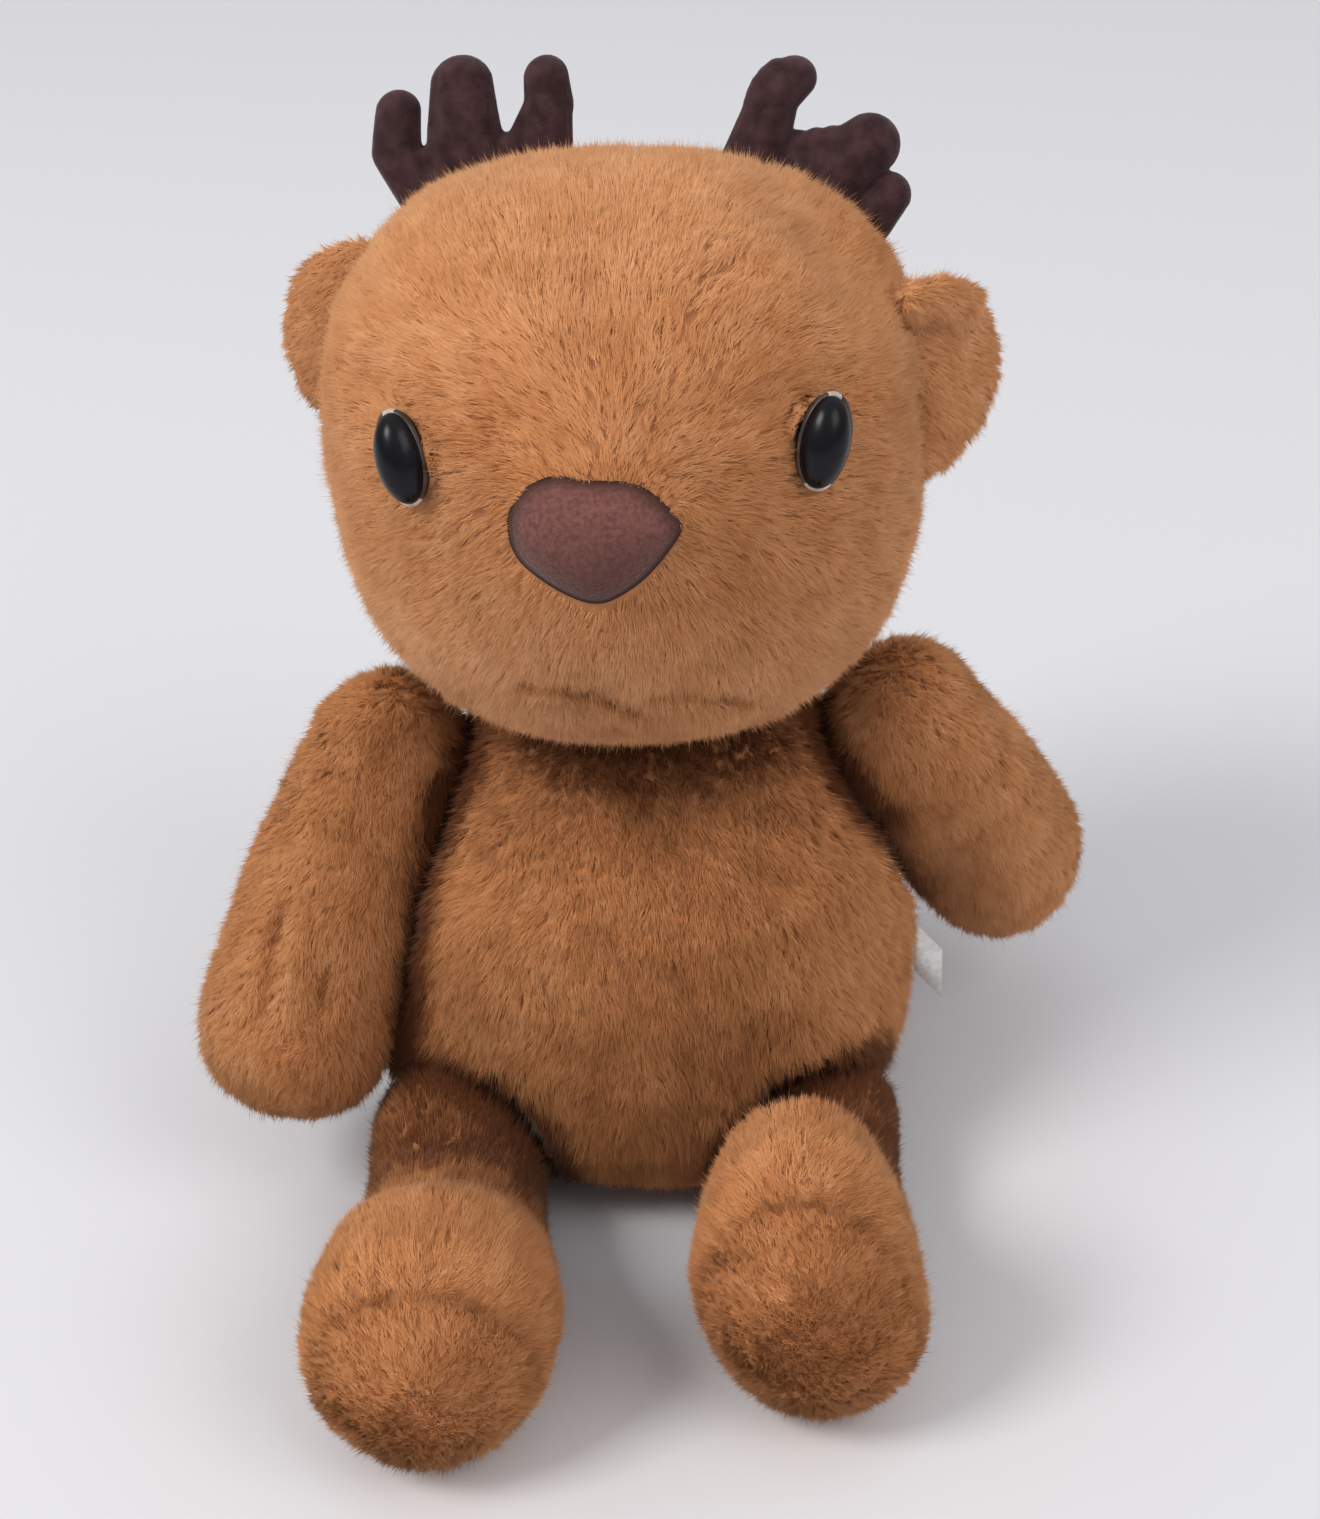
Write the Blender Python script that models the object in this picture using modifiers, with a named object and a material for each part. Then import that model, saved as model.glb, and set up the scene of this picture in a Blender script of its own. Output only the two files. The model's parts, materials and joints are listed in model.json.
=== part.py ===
"""A sitting plush deer: sewn plush skins over fibre filling, felt antlers, plastic eyes.

Metres, +Z up. The deer sits on z = 0 and faces -Y. Its own left side is at +X.
"""
import math

import bmesh
import bpy
from mathutils import Matrix, Quaternion, Vector
from mathutils.bvhtree import BVHTree

# Cloth, gaps and cuts
WALL = 0.0018
SOLE_WALL = 0.0012
CLEAR = 0.0003
FILL_CLEAR = 0.0006
BALL_CLEAR = 0.0006
FLAT_CUT = 0.0005
OVERRUN = 0.004

# Body: a pear whose top is a ball round the neck pivot
BODY_HALF_WIDTH = 0.0505
BODY_HALF_DEPTH = 0.0495
BODY_MIDDLE = 0.038
BODY_RISE = 0.064
BODY_LEAN_SHARE = 0.05
BODY_LOW_POWER = 3.0
BODY_TOP_POWER = 2.1
PELLET_LEVEL = 0.017

# Neck: both the turn and the nod go through its pivot
NECK_PIVOT = Vector((0.0, 0.003, 0.060))
NECK_BALL = 0.040
NECK_BALL_EDGE = 54.0
NECK_BALL_FADE = 80.0
NECK_HOLE = 14.5
NECK_PLUG = 12.5
HEAD_HOLE = 25.0

# Head: a rounded square seen from the front, carried a little back and turned
HEAD_HALF_WIDTH = 0.0520
HEAD_HALF_DEPTH = 0.0470
HEAD_HALF_HEIGHT = 0.0515
HEAD_TOP_POWER = 2.8
HEAD_LOW_POWER = 2.3
HEAD_RISE = 0.0825
HEAD_FORWARD = 0.0020
HEAD_PITCH = 13.0
HEAD_TURN = -6.0
POWER_SPAN_SHARE = 0.3
MUZZLE_SWELL = 0.0040
MUZZLE_REACH = 0.0200
MUZZLE_DROP = 0.0060

# Face
EYE_SPREAD = {"left": 0.0348, "right": 0.0318}
EYE_RISE = {"left": 0.0095, "right": 0.0078}
EYE_HALF_WIDTH = 0.0040
EYE_HALF_HEIGHT = 0.0073
EYE_DOME = 0.0040
EYE_LEAN = 12.0
RIM_BAND = 0.0005
RIM_THICKNESS = 0.0010
SHANK_RADIUS = 0.0020
WASHER_RADIUS = 0.0055
WASHER_THICKNESS = 0.0012
WASHER_SLACK = 0.0020
NOSE_HALF_WIDTH = 0.0125
NOSE_HALF_HEIGHT = 0.0105
NOSE_SWELL = 0.0055
NOSE_CORNER_SHARE = 0.09
NOSE_DROP = 0.0030

# Ears
EAR_RADIUS = 0.0185
EAR_HALF_THICKNESS = 0.0048
EAR_SPREAD = 0.0468
EAR_RISE = {"left": 0.0128, "right": 0.0190}
EAR_BACK = 0.0050
EAR_FLARE = 18.0

# Antlers: flat stuffed felt, a palm and three tines
ANTLER_SIZE = 0.0330
ANTLER_HALF_THICKNESS = 0.0044
ANTLER_SPREAD = {"left": 0.0272, "right": 0.0255}
ANTLER_RISE = {"left": 0.0400, "right": 0.0435}
ANTLER_BACK = 0.0100
ANTLER_SPLAY = {"left": 40.0, "right": 0.0}
MIDDLE_TINE_LEAN_SHARE = {"left": 0.08, "right": 0.0}

# Limb seats, the leg on the floor and the hanging and the raised arm
ARM_BALL = 0.0165
ARM_WAIST = {"left": 0.0174, "right": 0.0162}
ARM_PAW = 0.0186
ARM_PAW_CAP = 0.0150
ARM_LENGTH = 0.0560
SHOULDER = Vector((0.0490, 0.0040, 0.0800))
SHOULDER_HINGE = Vector((0.89, 0.30, 0.34))
LEFT_ARM_WAY = Vector((0.42, 0.42, -0.80))
RIGHT_ARM_WAY = Vector((-0.38, -0.46, -0.80))
ARM_HOLE_RADIUS = 0.0050
LEG_BALL = 0.0152
LEG_WAIST = 0.0134
LEG_LENGTH = {"left": 0.0560, "right": 0.0615}
LEG_HOLE = 18.0
HIP = {"left": Vector((0.0300, -0.0320, 0.0150)), "right": Vector((-0.0370, -0.0320, 0.0150))}
LEG_WAY = {"left": Vector((-0.12, -1.0, 0.0)), "right": Vector((-0.07, -1.0, 0.0))}
FOOT_HALF_WIDTH = {"left": 0.0199, "right": 0.0212}
FOOT_HALF_HEIGHT = {"left": 0.0310, "right": 0.0250}
FOOT_LIFT = {"left": 0.0158, "right": 0.0098}
FOOT_START_SHARE = 0.40
FOOT_FULL_SHARE = 0.84
FOOT_CAP = 0.0130
SOLE_TILT = 13.0
SOLE_DRAWN_SHARE = 0.94

# Swings about the seats, in degrees from the sitting pose: the left arm hangs back and the
# right arm hangs forward, so their ranges are each other's mirror image
ARM_FREE = 35.0
ARM_HELD = 15.0
LEG_UP = 15.0
LEG_DOWN = 10.0
SWING_STEPS = 12

# Tail and label
TAIL_HALF_WIDTH = 0.0085
TAIL_HALF_THICKNESS = 0.0060
TAIL_LENGTH = 0.0150
TAIL_HEIGHT = 0.0260
TAIL_TILT = 40.0
TAIL_TAPER_SHARE = 0.35
LABEL_WIDTH = 0.0120
LABEL_LENGTH = 0.0105
LABEL_THICKNESS = 0.0006
LABEL_HEIGHT = 0.0310
LABEL_AROUND = 88.0
LABEL_DROOP = 55.0
LABEL_BEND = 24.0
LABEL_STEPS = 4
LABEL_CLEAR = 0.0010

# Points round and along each soft form, and the shares of a limb's points on its ends
BODY_MESH = (24, 14)
HEAD_MESH = (26, 16)
ARM_MESH = (16, 12)
LEG_MESH = (18, 14)
EAR_MESH = (14, 10)
SWEEP_MESH = (22, 14)
EYE_MESH = (20, 9)
NOSE_MESH = (24, 12)
FINGER_MESH = (12, 10)
WAD_SIDES = 16
ROUND_SIDES = 20
SHANK_SIDES = 12
ROOT_SHARE = 0.30
TIP_SHARE = 0.62
SOLE_RINGS = 4

FUR = ((0.50, 0.24, 0.10), 0.90)
DARK_FUR = ((0.36, 0.16, 0.07), 0.90)
FELT = ((0.055, 0.022, 0.020), 0.85)
NOSE_FELT = ((0.13, 0.045, 0.038), 0.80)
BLACK_PLASTIC = ((0.006, 0.006, 0.009), 0.08)
WHITE_PLASTIC = ((0.80, 0.78, 0.74), 0.35)
WHITE_RIBBON = ((0.82, 0.82, 0.80), 0.60)
FIBRE = ((0.85, 0.85, 0.83), 0.95)
CALICO = ((0.62, 0.55, 0.44), 0.90)


def remove_everything():
    for obj in list(bpy.data.objects):
        bpy.data.objects.remove(obj)


def collection(name):
    found = bpy.data.collections.new(name)
    bpy.context.scene.collection.children.link(found)
    return found


def paint(obj, finish):
    colour, roughness = finish
    material = bpy.data.materials.new(obj.name)
    material.use_nodes = True
    shader = material.node_tree.nodes["Principled BSDF"]
    shader.inputs["Base Color"].default_value = (*colour, 1.0)
    shader.inputs["Roughness"].default_value = roughness
    shader.inputs["Metallic"].default_value = 0.0
    material.diffuse_color = (*colour, 1.0)
    obj.data.materials.clear()
    obj.data.materials.append(material)


def object_from(mesh, name, home, finish=None, smooth=True):
    data = bpy.data.meshes.new(name)
    mesh.to_mesh(data)
    mesh.free()
    obj = bpy.data.objects.new(name, data)
    home.objects.link(obj)
    if finish:
        paint(obj, finish)
    if smooth:
        data.shade_smooth()
    return obj


def face_out(mesh):
    """Turns every face of a closed mesh outwards, after its points have moved."""
    mesh.normal_update()
    bmesh.ops.recalc_face_normals(mesh, faces=mesh.faces)


def ball_mesh(around, along):
    """A ball of one unit, its poles on Z."""
    mesh = bmesh.new()
    bmesh.ops.create_uvsphere(mesh, u_segments=around, v_segments=along, radius=1)
    return mesh


def hidden(obj):
    obj.hide_render = True
    obj.display_type = "WIRE"
    return obj


def cutter_from(mesh, name, cutters):
    """A hidden closed form of flat triangles, for cutting and joining."""
    bmesh.ops.triangulate(mesh, faces=mesh.faces)
    face_out(mesh)
    return hidden(object_from(mesh, name, cutters))


def boolean(obj, other, operation="DIFFERENCE"):
    modifier = obj.modifiers.new(operation.lower(), "BOOLEAN")
    modifier.operation = operation
    modifier.object = other


def triangulate(obj):
    """Splits bent faces into flat ones before they are cut."""
    obj.modifiers.new("flat_faces", "TRIANGULATE")


def level(unit):
    """The level part of a direction as a unit vector, or nothing at the poles."""
    return Vector((unit.x, unit.y, 0.0)).normalized()


def eased(value):
    value = min(1.0, max(0.0, value))
    return value * value * (3.0 - 2.0 * value)


class Seat:
    """The ball-shaped seat of a limb, with its hinge and how far the limb swings about it."""

    def __init__(self, centre, hinge, way, low, high):
        self.centre = centre
        self.hinge = hinge.normalized()
        self.way = way.normalized()
        self.angles = [math.radians(low + (high - low) * step / SWING_STEPS)
                       for step in range(SWING_STEPS + 1)]
        self.reaches = []

    def reach(self, tree, toward):
        """The farthest that the swinging limb comes from the centre towards a direction."""
        farthest = 0.0
        for angle in self.angles:
            way = Quaternion(self.hinge, -angle) @ toward
            farthest = max(farthest, tree.ray_cast(self.centre, way)[3])
        return farthest

    def measure(self, form):
        """Notes the reach round every point of the swept form, also half-way to its neighbours."""
        tree = BVHTree.FromBMesh(form)
        turn = Vector((0, 0, 1)).rotation_difference(self.hinge)
        mesh = ball_mesh(*SWEEP_MESH)
        for vertex in mesh.verts:
            ways = [vertex.co] + [vertex.co + edge.other_vert(vertex).co
                                  for edge in vertex.link_edges]
            farthest = max(self.reach(tree, turn @ way.normalized()) for way in ways)
            self.reaches.append((turn @ vertex.co, farthest))
        mesh.free()

    def sweep(self, clearance, name, cutters):
        """A closed form of all the space that the limb swings through, grown by a clearance."""
        mesh = ball_mesh(*SWEEP_MESH)
        for vertex, (toward, farthest) in zip(mesh.verts, self.reaches):
            vertex.co = self.centre + toward * (farthest + clearance)
        return cutter_from(mesh, name, cutters)


SIDES = {"left": 1.0, "right": -1.0}
SEATS = {}


def mirrored(vector, side):
    return Vector((vector.x * side, vector.y, vector.z))


def shoulder_seat(side):
    way = LEFT_ARM_WAY if side > 0 else RIGHT_ARM_WAY
    return Seat(mirrored(SHOULDER, side), mirrored(SHOULDER_HINGE, side), way,
                -ARM_FREE, ARM_HELD)


def hip_seat(name):
    return Seat(HIP[name], Vector((-1, 0, 0)), LEG_WAY[name], -LEG_DOWN, LEG_UP)


def rounded(unit, low_power, top_power, flat):
    """A unit direction stretched onto a rounded box; flat joins x and y into one radius."""
    power = low_power + (top_power - low_power) * eased((unit.z / POWER_SPAN_SHARE + 1.0) / 2.0)
    if flat:
        terms = math.hypot(unit.x, unit.y) ** power
    else:
        terms = abs(unit.x) ** power + abs(unit.y) ** power
    return unit * (terms + abs(unit.z) ** power) ** (-1.0 / power)


def body_point(unit):
    unit = Vector((unit.x, -unit.y, -unit.z))
    box = rounded(unit, BODY_LOW_POWER, BODY_TOP_POWER, True)
    height = BODY_RISE if box.z > 0 else BODY_MIDDLE + FLAT_CUT
    point = Vector((box.x * BODY_HALF_WIDTH, box.y * BODY_HALF_DEPTH,
                    BODY_MIDDLE + box.z * height))
    point.y += BODY_LEAN_SHARE * point.z
    away = point - NECK_PIVOT
    edge = math.degrees(away.angle(Vector((0, 0, 1))))
    keep = 1.0 - eased((edge - NECK_BALL_EDGE) / (NECK_BALL_FADE - NECK_BALL_EDGE))
    radius = away.length + (NECK_BALL - away.length) * keep
    return NECK_PIVOT + away.normalized() * radius


HEAD_CENTRE = NECK_PIVOT + Vector((0.0, -HEAD_FORWARD, HEAD_RISE))
HEAD_SPIN = (Quaternion((0, 0, 1), math.radians(HEAD_TURN))
             @ Quaternion((1, 0, 0), math.radians(-HEAD_PITCH)))


def on_head(x, y, z):
    """A place in the head's own axes, from its centre, as a world place."""
    return HEAD_CENTRE + HEAD_SPIN @ Vector((x, y, z))


def head_point(unit):
    to_pivot = HEAD_SPIN.inverted() @ (NECK_PIVOT - HEAD_CENTRE)
    turn = Vector((0, 0, -1)).rotation_difference(to_pivot)
    box = rounded(turn @ unit, HEAD_LOW_POWER, HEAD_TOP_POWER, False)
    local = Vector((box.x * HEAD_HALF_WIDTH, box.y * HEAD_HALF_DEPTH, box.z * HEAD_HALF_HEIGHT))
    if local.y < 0:
        off = math.hypot(local.x, local.z + MUZZLE_DROP) / MUZZLE_REACH
        local.y -= MUZZLE_SWELL * math.exp(-off * off / 2.0)
    point = HEAD_CENTRE + HEAD_SPIN @ local
    away = point - NECK_PIVOT
    room = NECK_BALL + BALL_CLEAR
    if away.length < room:
        point = NECK_PIVOT + away.normalized() * room
    return point


def limb_profile(along, root, waist, length, cap, tip):
    """Place along the limb and half-width there, from the root pole (0) to the tip (1)."""
    if along <= ROOT_SHARE:
        angle = along / ROOT_SHARE * math.pi / 2
        return -root * math.cos(angle), root * math.sin(angle)
    if along < TIP_SHARE:
        share = (along - ROOT_SHARE) / (TIP_SHARE - ROOT_SHARE)
        width = root + (waist - root) * math.sin(math.pi * min(1.0, share * 2.0) / 2.0)
        return share * length, width + (tip - width) * eased(share)
    angle = (along - TIP_SHARE) / (1.0 - TIP_SHARE) * math.pi / 2
    return length + cap * math.sin(angle), tip * math.cos(angle)


def frame_along(way, up):
    """Axes whose Z runs along the limb and whose Y is as near to up as it can be."""
    axis_z = way.normalized()
    axis_x = up.cross(axis_z).normalized()
    axis_y = axis_z.cross(axis_x)
    return Matrix((axis_x, axis_y, axis_z)).transposed()


def arm_point(name):
    seat = SEATS["shoulder_" + name]
    waist = ARM_WAIST[name]
    axes = frame_along(seat.way, Vector((0, -1, 0)))

    def point(unit):
        along = 1.0 - Vector((0, 0, 1)).angle(unit) / math.pi
        place, width = limb_profile(along, ARM_BALL, waist, ARM_LENGTH, ARM_PAW_CAP, ARM_PAW)
        ring = level(unit)
        return seat.centre + axes @ Vector((ring.x * width, ring.y * width, place))

    return point


def leg_point(name):
    seat = SEATS["hip_" + name]
    length = LEG_LENGTH[name]
    wide = FOOT_HALF_WIDTH[name]
    stretch = FOOT_HALF_HEIGHT[name] / wide - 1.0
    axes = frame_along(seat.way, Vector((0, 0, 1)))

    def point(unit):
        tilt = math.radians(SOLE_TILT) * eased((unit.z + 1.0) / 2.0)
        unit = Quaternion((1, 0, 0), tilt) @ unit
        along = 1.0 - Vector((0, 0, 1)).angle(unit) / math.pi
        place, width = limb_profile(along, LEG_BALL, LEG_WAIST, length, FOOT_CAP, wide)
        share = place / length
        grown = eased((share - FOOT_START_SHARE) / (FOOT_FULL_SHARE - FOOT_START_SHARE))
        tall = width * (1.0 + stretch * grown)
        ring = level(unit)
        return seat.centre + axes @ Vector((ring.x * width, ring.y * tall + FOOT_LIFT[name] * grown,
                                            place))

    return point


PLAIN = 0
OPENING = 1
SOLE = 2


def form_mesh(point, size, hole=0.0, rings=0, sole=0, drawn=1.0):
    """A ball of points moved onto a form; the faces of its opening and sole are marked.

    A share under 1 for drawn draws all the points along the form towards its tip.
    """
    mesh = ball_mesh(*size)
    step = math.pi / size[1]
    for face in mesh.faces:
        angle = Vector((0, 0, -1)).angle(face.calc_center_median())
        if angle < rings * step:
            face.material_index = OPENING
        elif angle > math.pi - sole * step:
            face.material_index = SOLE
    for vertex in mesh.verts:
        unit = vertex.co.normalized()
        if rings:
            unit = respaced(unit, rings * step, math.radians(hole))
        angle = Vector((0, 0, 1)).angle(unit) * drawn
        ring = level(unit)
        unit = Vector((ring.x * math.sin(angle), ring.y * math.sin(angle), math.cos(angle)))
        vertex.co = point(unit)
    face_out(mesh)
    return mesh


def respaced(unit, old, new):
    """Moves the ring at one angle from the root pole to another, and the rest in step."""
    angle = Vector((0, 0, -1)).angle(unit)
    if angle <= old:
        moved = angle * new / old
    else:
        moved = new + (angle - old) * (math.pi - new) / (math.pi - old)
    ring = level(unit)
    return Vector((ring.x * math.sin(moved), ring.y * math.sin(moved), -math.cos(moved)))


def cut_level(mesh, height, keep_above=True):
    """Cuts a closed mesh level and closes the cut with one flat face."""
    geometry = mesh.verts[:] + mesh.edges[:] + mesh.faces[:]
    cut = bmesh.ops.bisect_plane(mesh, geom=geometry, plane_co=(0, 0, height), plane_no=(0, 0, 1),
                                 clear_inner=keep_above, clear_outer=not keep_above)
    edges = [item for item in cut["geom_cut"] if isinstance(item, bmesh.types.BMEdge)]
    bmesh.ops.holes_fill(mesh, edges=edges)
    face_out(mesh)


def keep_marked(mesh, mark):
    """Removes every face that hasn't the mark."""
    gone = [face for face in mesh.faces if face.material_index != mark]
    bmesh.ops.delete(mesh, geom=gone, context="FACES")
    clear_marks(mesh)


def clear_marks(mesh):
    for face in mesh.faces:
        face.material_index = PLAIN


def shrink(mesh, depth):
    """Moves every point of a closed mesh in by an even depth."""
    mesh.normal_update()
    moves = [vertex.normal * vertex.calc_shell_factor() * depth for vertex in mesh.verts]
    for vertex, move in zip(mesh.verts, moves):
        vertex.co -= move
    clear_marks(mesh)


def sew(obj, thickness=WALL):
    """Gives an open skin its thickness of plush and backing, inwards."""
    solid = obj.modifiers.new("cloth", "SOLIDIFY")
    solid.thickness = thickness
    solid.offset = -1.0
    solid.use_even_offset = True
    solid.use_rim = True


def body_form(depth):
    """The body's closed form, flat underneath, an even depth under its outside."""
    mesh = form_mesh(body_point, BODY_MESH)
    cut_level(mesh, 0.0)
    shrink(mesh, depth)
    return mesh


def dent(obj, clearance, cutters):
    """Takes the swept space of every limb from a form, so that it gives way to them."""
    triangulate(obj)
    for name, seat in SEATS.items():
        sweep = seat.sweep(clearance, "%s_%s" % (obj.name, name), cutters)
        boolean(obj, sweep)


def make_body(home, cutters):
    """A closed plush skin, dented where the limbs lie in it, open only at the neck."""
    skin = object_from(body_form(0.0), "body_skin", home, FUR)
    dent(skin, BALL_CLEAR, cutters)
    hollow = cutter_from(body_form(WALL), "body_hollow", cutters)
    dent(hollow, BALL_CLEAR + WALL, cutters)
    boolean(skin, hollow)
    reach = NECK_BALL * math.sin(math.radians(NECK_HOLE))
    hole = cylinder("neck_hole", reach, BODY_MIDDLE, NECK_PIVOT.z + NECK_BALL + OVERRUN,
                    Matrix.Identity(3), Vector((NECK_PIVOT.x, NECK_PIVOT.y, 0.0)), cutters)
    boolean(skin, hidden(hole))

    inside = BALL_CLEAR + WALL + FILL_CLEAR
    inner = body_form(WALL + FILL_CLEAR)
    bag = inner.copy()
    cut_level(inner, PELLET_LEVEL + CLEAR)
    stuffing = object_from(inner, "body_stuffing", home, FIBRE)
    dent(stuffing, inside, cutters)
    cut_level(bag, PELLET_LEVEL, keep_above=False)
    pellets = object_from(bag, "seat_pellet_bag", home, CALICO)
    dent(pellets, inside, cutters)


def head_hole_angle():
    """The head opening's angle as seen from the head's centre."""
    radius = NECK_BALL * math.sin(math.radians(HEAD_HOLE))
    below = (HEAD_CENTRE - NECK_PIVOT).length - NECK_BALL * math.cos(math.radians(HEAD_HOLE))
    return math.degrees(math.atan2(radius, below))


HEAD_HOLE_AT_CENTRE = head_hole_angle()


def make_neck(home):
    """A round wad between two balls about the pivot, as thick as the cloth of body and head."""
    low = NECK_BALL - WALL
    high = NECK_BALL + BALL_CLEAR + WALL
    mesh = bmesh.new()
    bmesh.ops.create_cone(mesh, cap_ends=True, cap_tris=True, segments=WAD_SIDES, radius1=1,
                          radius2=1, depth=2)
    for vertex in mesh.verts:
        radius = high if vertex.co.z > 0 else low
        ring = level(vertex.co)
        tilt = math.radians(NECK_PLUG) * ring.length
        vertex.co = NECK_PIVOT + Vector((ring.x * math.sin(tilt), ring.y * math.sin(tilt),
                                         math.cos(tilt))) * radius
    face_out(mesh)
    object_from(mesh, "neck_stuffing", home, FIBRE, smooth=False)


def head_trim(cutters):
    """The head's form, grown by the sewing gap, that trims what is sewn on it."""
    mesh = form_mesh(head_point, HEAD_MESH, HEAD_HOLE_AT_CENTRE, 2)
    shrink(mesh, -CLEAR)
    return cutter_from(mesh, "head_trim", cutters)


def cylinder(name, radius, low, high, axes, place, home, sides=ROUND_SIDES, stretch=1.0):
    """A cylinder along the Z of axes, between two heights over a place, oval where stretched."""
    mesh = bmesh.new()
    bmesh.ops.create_cone(mesh, cap_ends=True, segments=sides, radius1=radius, radius2=radius,
                          depth=high - low)
    bmesh.ops.scale(mesh, vec=(1.0, stretch, 1.0), verts=mesh.verts)
    bmesh.ops.translate(mesh, verts=mesh.verts, vec=(0, 0, (high + low) / 2.0))
    mesh.transform(Matrix.Translation(place) @ axes.to_4x4())
    return object_from(mesh, name, home, smooth=False)


def face_seat(tree, x, z):
    """Where a straight line from the front meets the head, and the way the skin faces there."""
    start = on_head(x, -HEAD_HALF_DEPTH - HEAD_HALF_DEPTH, z)
    place, normal, _, _ = tree.ray_cast(start, HEAD_SPIN @ Vector((0, 1, 0)))
    return place, normal


def make_head(home, cutters):
    mesh = form_mesh(head_point, HEAD_MESH, HEAD_HOLE_AT_CENTRE, 2)
    tree = BVHTree.FromBMesh(mesh)
    inner = mesh.copy()
    keep_marked(mesh, PLAIN)
    skin = object_from(mesh, "head_skin", home, FUR)
    sew(skin)
    triangulate(skin)
    shrink(inner, WALL + FILL_CLEAR)
    filling = object_from(inner, "head_stuffing", home, FIBRE)
    triangulate(filling)
    for name, side in SIDES.items():
        make_eye(name, side, tree, skin, filling, home, cutters)
    return tree


def eye_dome(name, level_at, axes, place, home):
    """The eye's oval dome: half a ball with a flat back at a level over the skin."""
    mesh = ball_mesh(*EYE_MESH)
    cut_level(mesh, 0.0)
    bmesh.ops.scale(mesh, vec=(EYE_HALF_WIDTH, EYE_HALF_HEIGHT, EYE_DOME), verts=mesh.verts)
    bmesh.ops.translate(mesh, verts=mesh.verts, vec=(0, 0, level_at))
    mesh.transform(Matrix.Translation(place) @ axes.to_4x4())
    return object_from(mesh, name, home, BLACK_PLASTIC)


def make_eye(name, side, tree, skin, filling, home, cutters):
    """An eye on its backing ring, with a shank through the skin to a washer behind it."""
    place, normal = face_seat(tree, EYE_SPREAD[name] * side, EYE_RISE[name])
    lean = math.radians(EYE_LEAN) * side
    axes = frame_along(normal, HEAD_SPIN @ Vector((math.sin(lean), 0, math.cos(lean))))
    back = CLEAR + RIM_THICKNESS
    inside = -(WALL + WASHER_SLACK)
    end = inside - WASHER_THICKNESS - CLEAR
    rim = cylinder("eye_backing_" + name, EYE_HALF_WIDTH + RIM_BAND, CLEAR, back, axes, place,
                   home, stretch=(EYE_HALF_HEIGHT + RIM_BAND) / (EYE_HALF_WIDTH + RIM_BAND))
    paint(rim, WHITE_PLASTIC)
    washer = cylinder("eye_washer_" + name, WASHER_RADIUS, inside - WASHER_THICKNESS, inside,
                      axes, place, home)
    paint(washer, WHITE_PLASTIC)
    eye = eye_dome("eye_" + name, back + CLEAR, axes, place, home)
    shank = cylinder("shank_" + name, SHANK_RADIUS, end, back + EYE_DOME / 2.0, axes, place,
                     cutters, SHANK_SIDES)
    boolean(eye, hidden(shank), "UNION")
    drill = cylinder("drill_" + name, SHANK_RADIUS + CLEAR, end - OVERRUN, back + OVERRUN, axes,
                     place, cutters, SHANK_SIDES)
    for pierced in (rim, washer, skin):
        boolean(pierced, hidden(drill))
    pocket = cylinder("pocket_" + name, WASHER_RADIUS + CLEAR, end - FILL_CLEAR, OVERRUN, axes,
                      place, cutters)
    boolean(filling, hidden(pocket))


def make_nose(tree, trim, home):
    """A padded triangle with round corners: two above and one below."""
    place, normal = face_seat(tree, 0.0, -NOSE_DROP)
    axes = frame_along(normal, HEAD_SPIN @ Vector((0, 0, 1)))
    mesh = ball_mesh(*NOSE_MESH)
    for vertex in mesh.verts:
        corner = math.sin(3.0 * math.atan2(vertex.co.y, vertex.co.x))
        share = 1.0 + NOSE_CORNER_SHARE * corner
        vertex.co = Vector((vertex.co.x * share * NOSE_HALF_WIDTH,
                            vertex.co.y * share * NOSE_HALF_HEIGHT, vertex.co.z * NOSE_SWELL))
    mesh.transform(Matrix.Translation(place) @ axes.to_4x4())
    nose = object_from(mesh, "nose", home, NOSE_FELT)
    triangulate(nose)
    boolean(nose, trim)


def make_ears(trim, home):
    """Round flat ears, sewn half-way round the side of the head."""
    for name, side in SIDES.items():
        turn = HEAD_SPIN @ Quaternion((0, 0, 1), math.radians(EAR_FLARE * side))
        place = on_head(EAR_SPREAD * side, EAR_BACK, EAR_RISE[name])
        mesh = ball_mesh(*EAR_MESH)
        for vertex in mesh.verts:
            spot = Vector((vertex.co.x * EAR_RADIUS, vertex.co.z * EAR_HALF_THICKNESS,
                           vertex.co.y * EAR_RADIUS))
            vertex.co = place + turn @ spot
        face_out(mesh)
        ear = object_from(mesh, "ear_" + name, home, FUR)
        triangulate(ear)
        boolean(ear, trim)


# A finger runs between two places in the antler's own plane, outwards and up from the middle
# of its palm; the places, the half-widths at both ends and the thickness are shares
FINGER_SHARES = (
    ((0.02, -0.42), (0.02, -0.02), 0.38, 0.36, 1.00),
    ((0.28, -0.12), (0.412, 0.20), 0.18, 0.128, 0.83),
    ((0.412, 0.20), (0.402, 0.405), 0.128, 0.118, 0.76),
    ((0.05, 0.08), (0.082, 0.535), 0.215, 0.162, 0.94),
    ((-0.25, 0.08), (-0.372, 0.43), 0.18, 0.128, 0.88),
    ((-0.372, 0.43), (-0.355, 0.56), 0.128, 0.120, 0.80),
)
MIDDLE_TINE = 3


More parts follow.
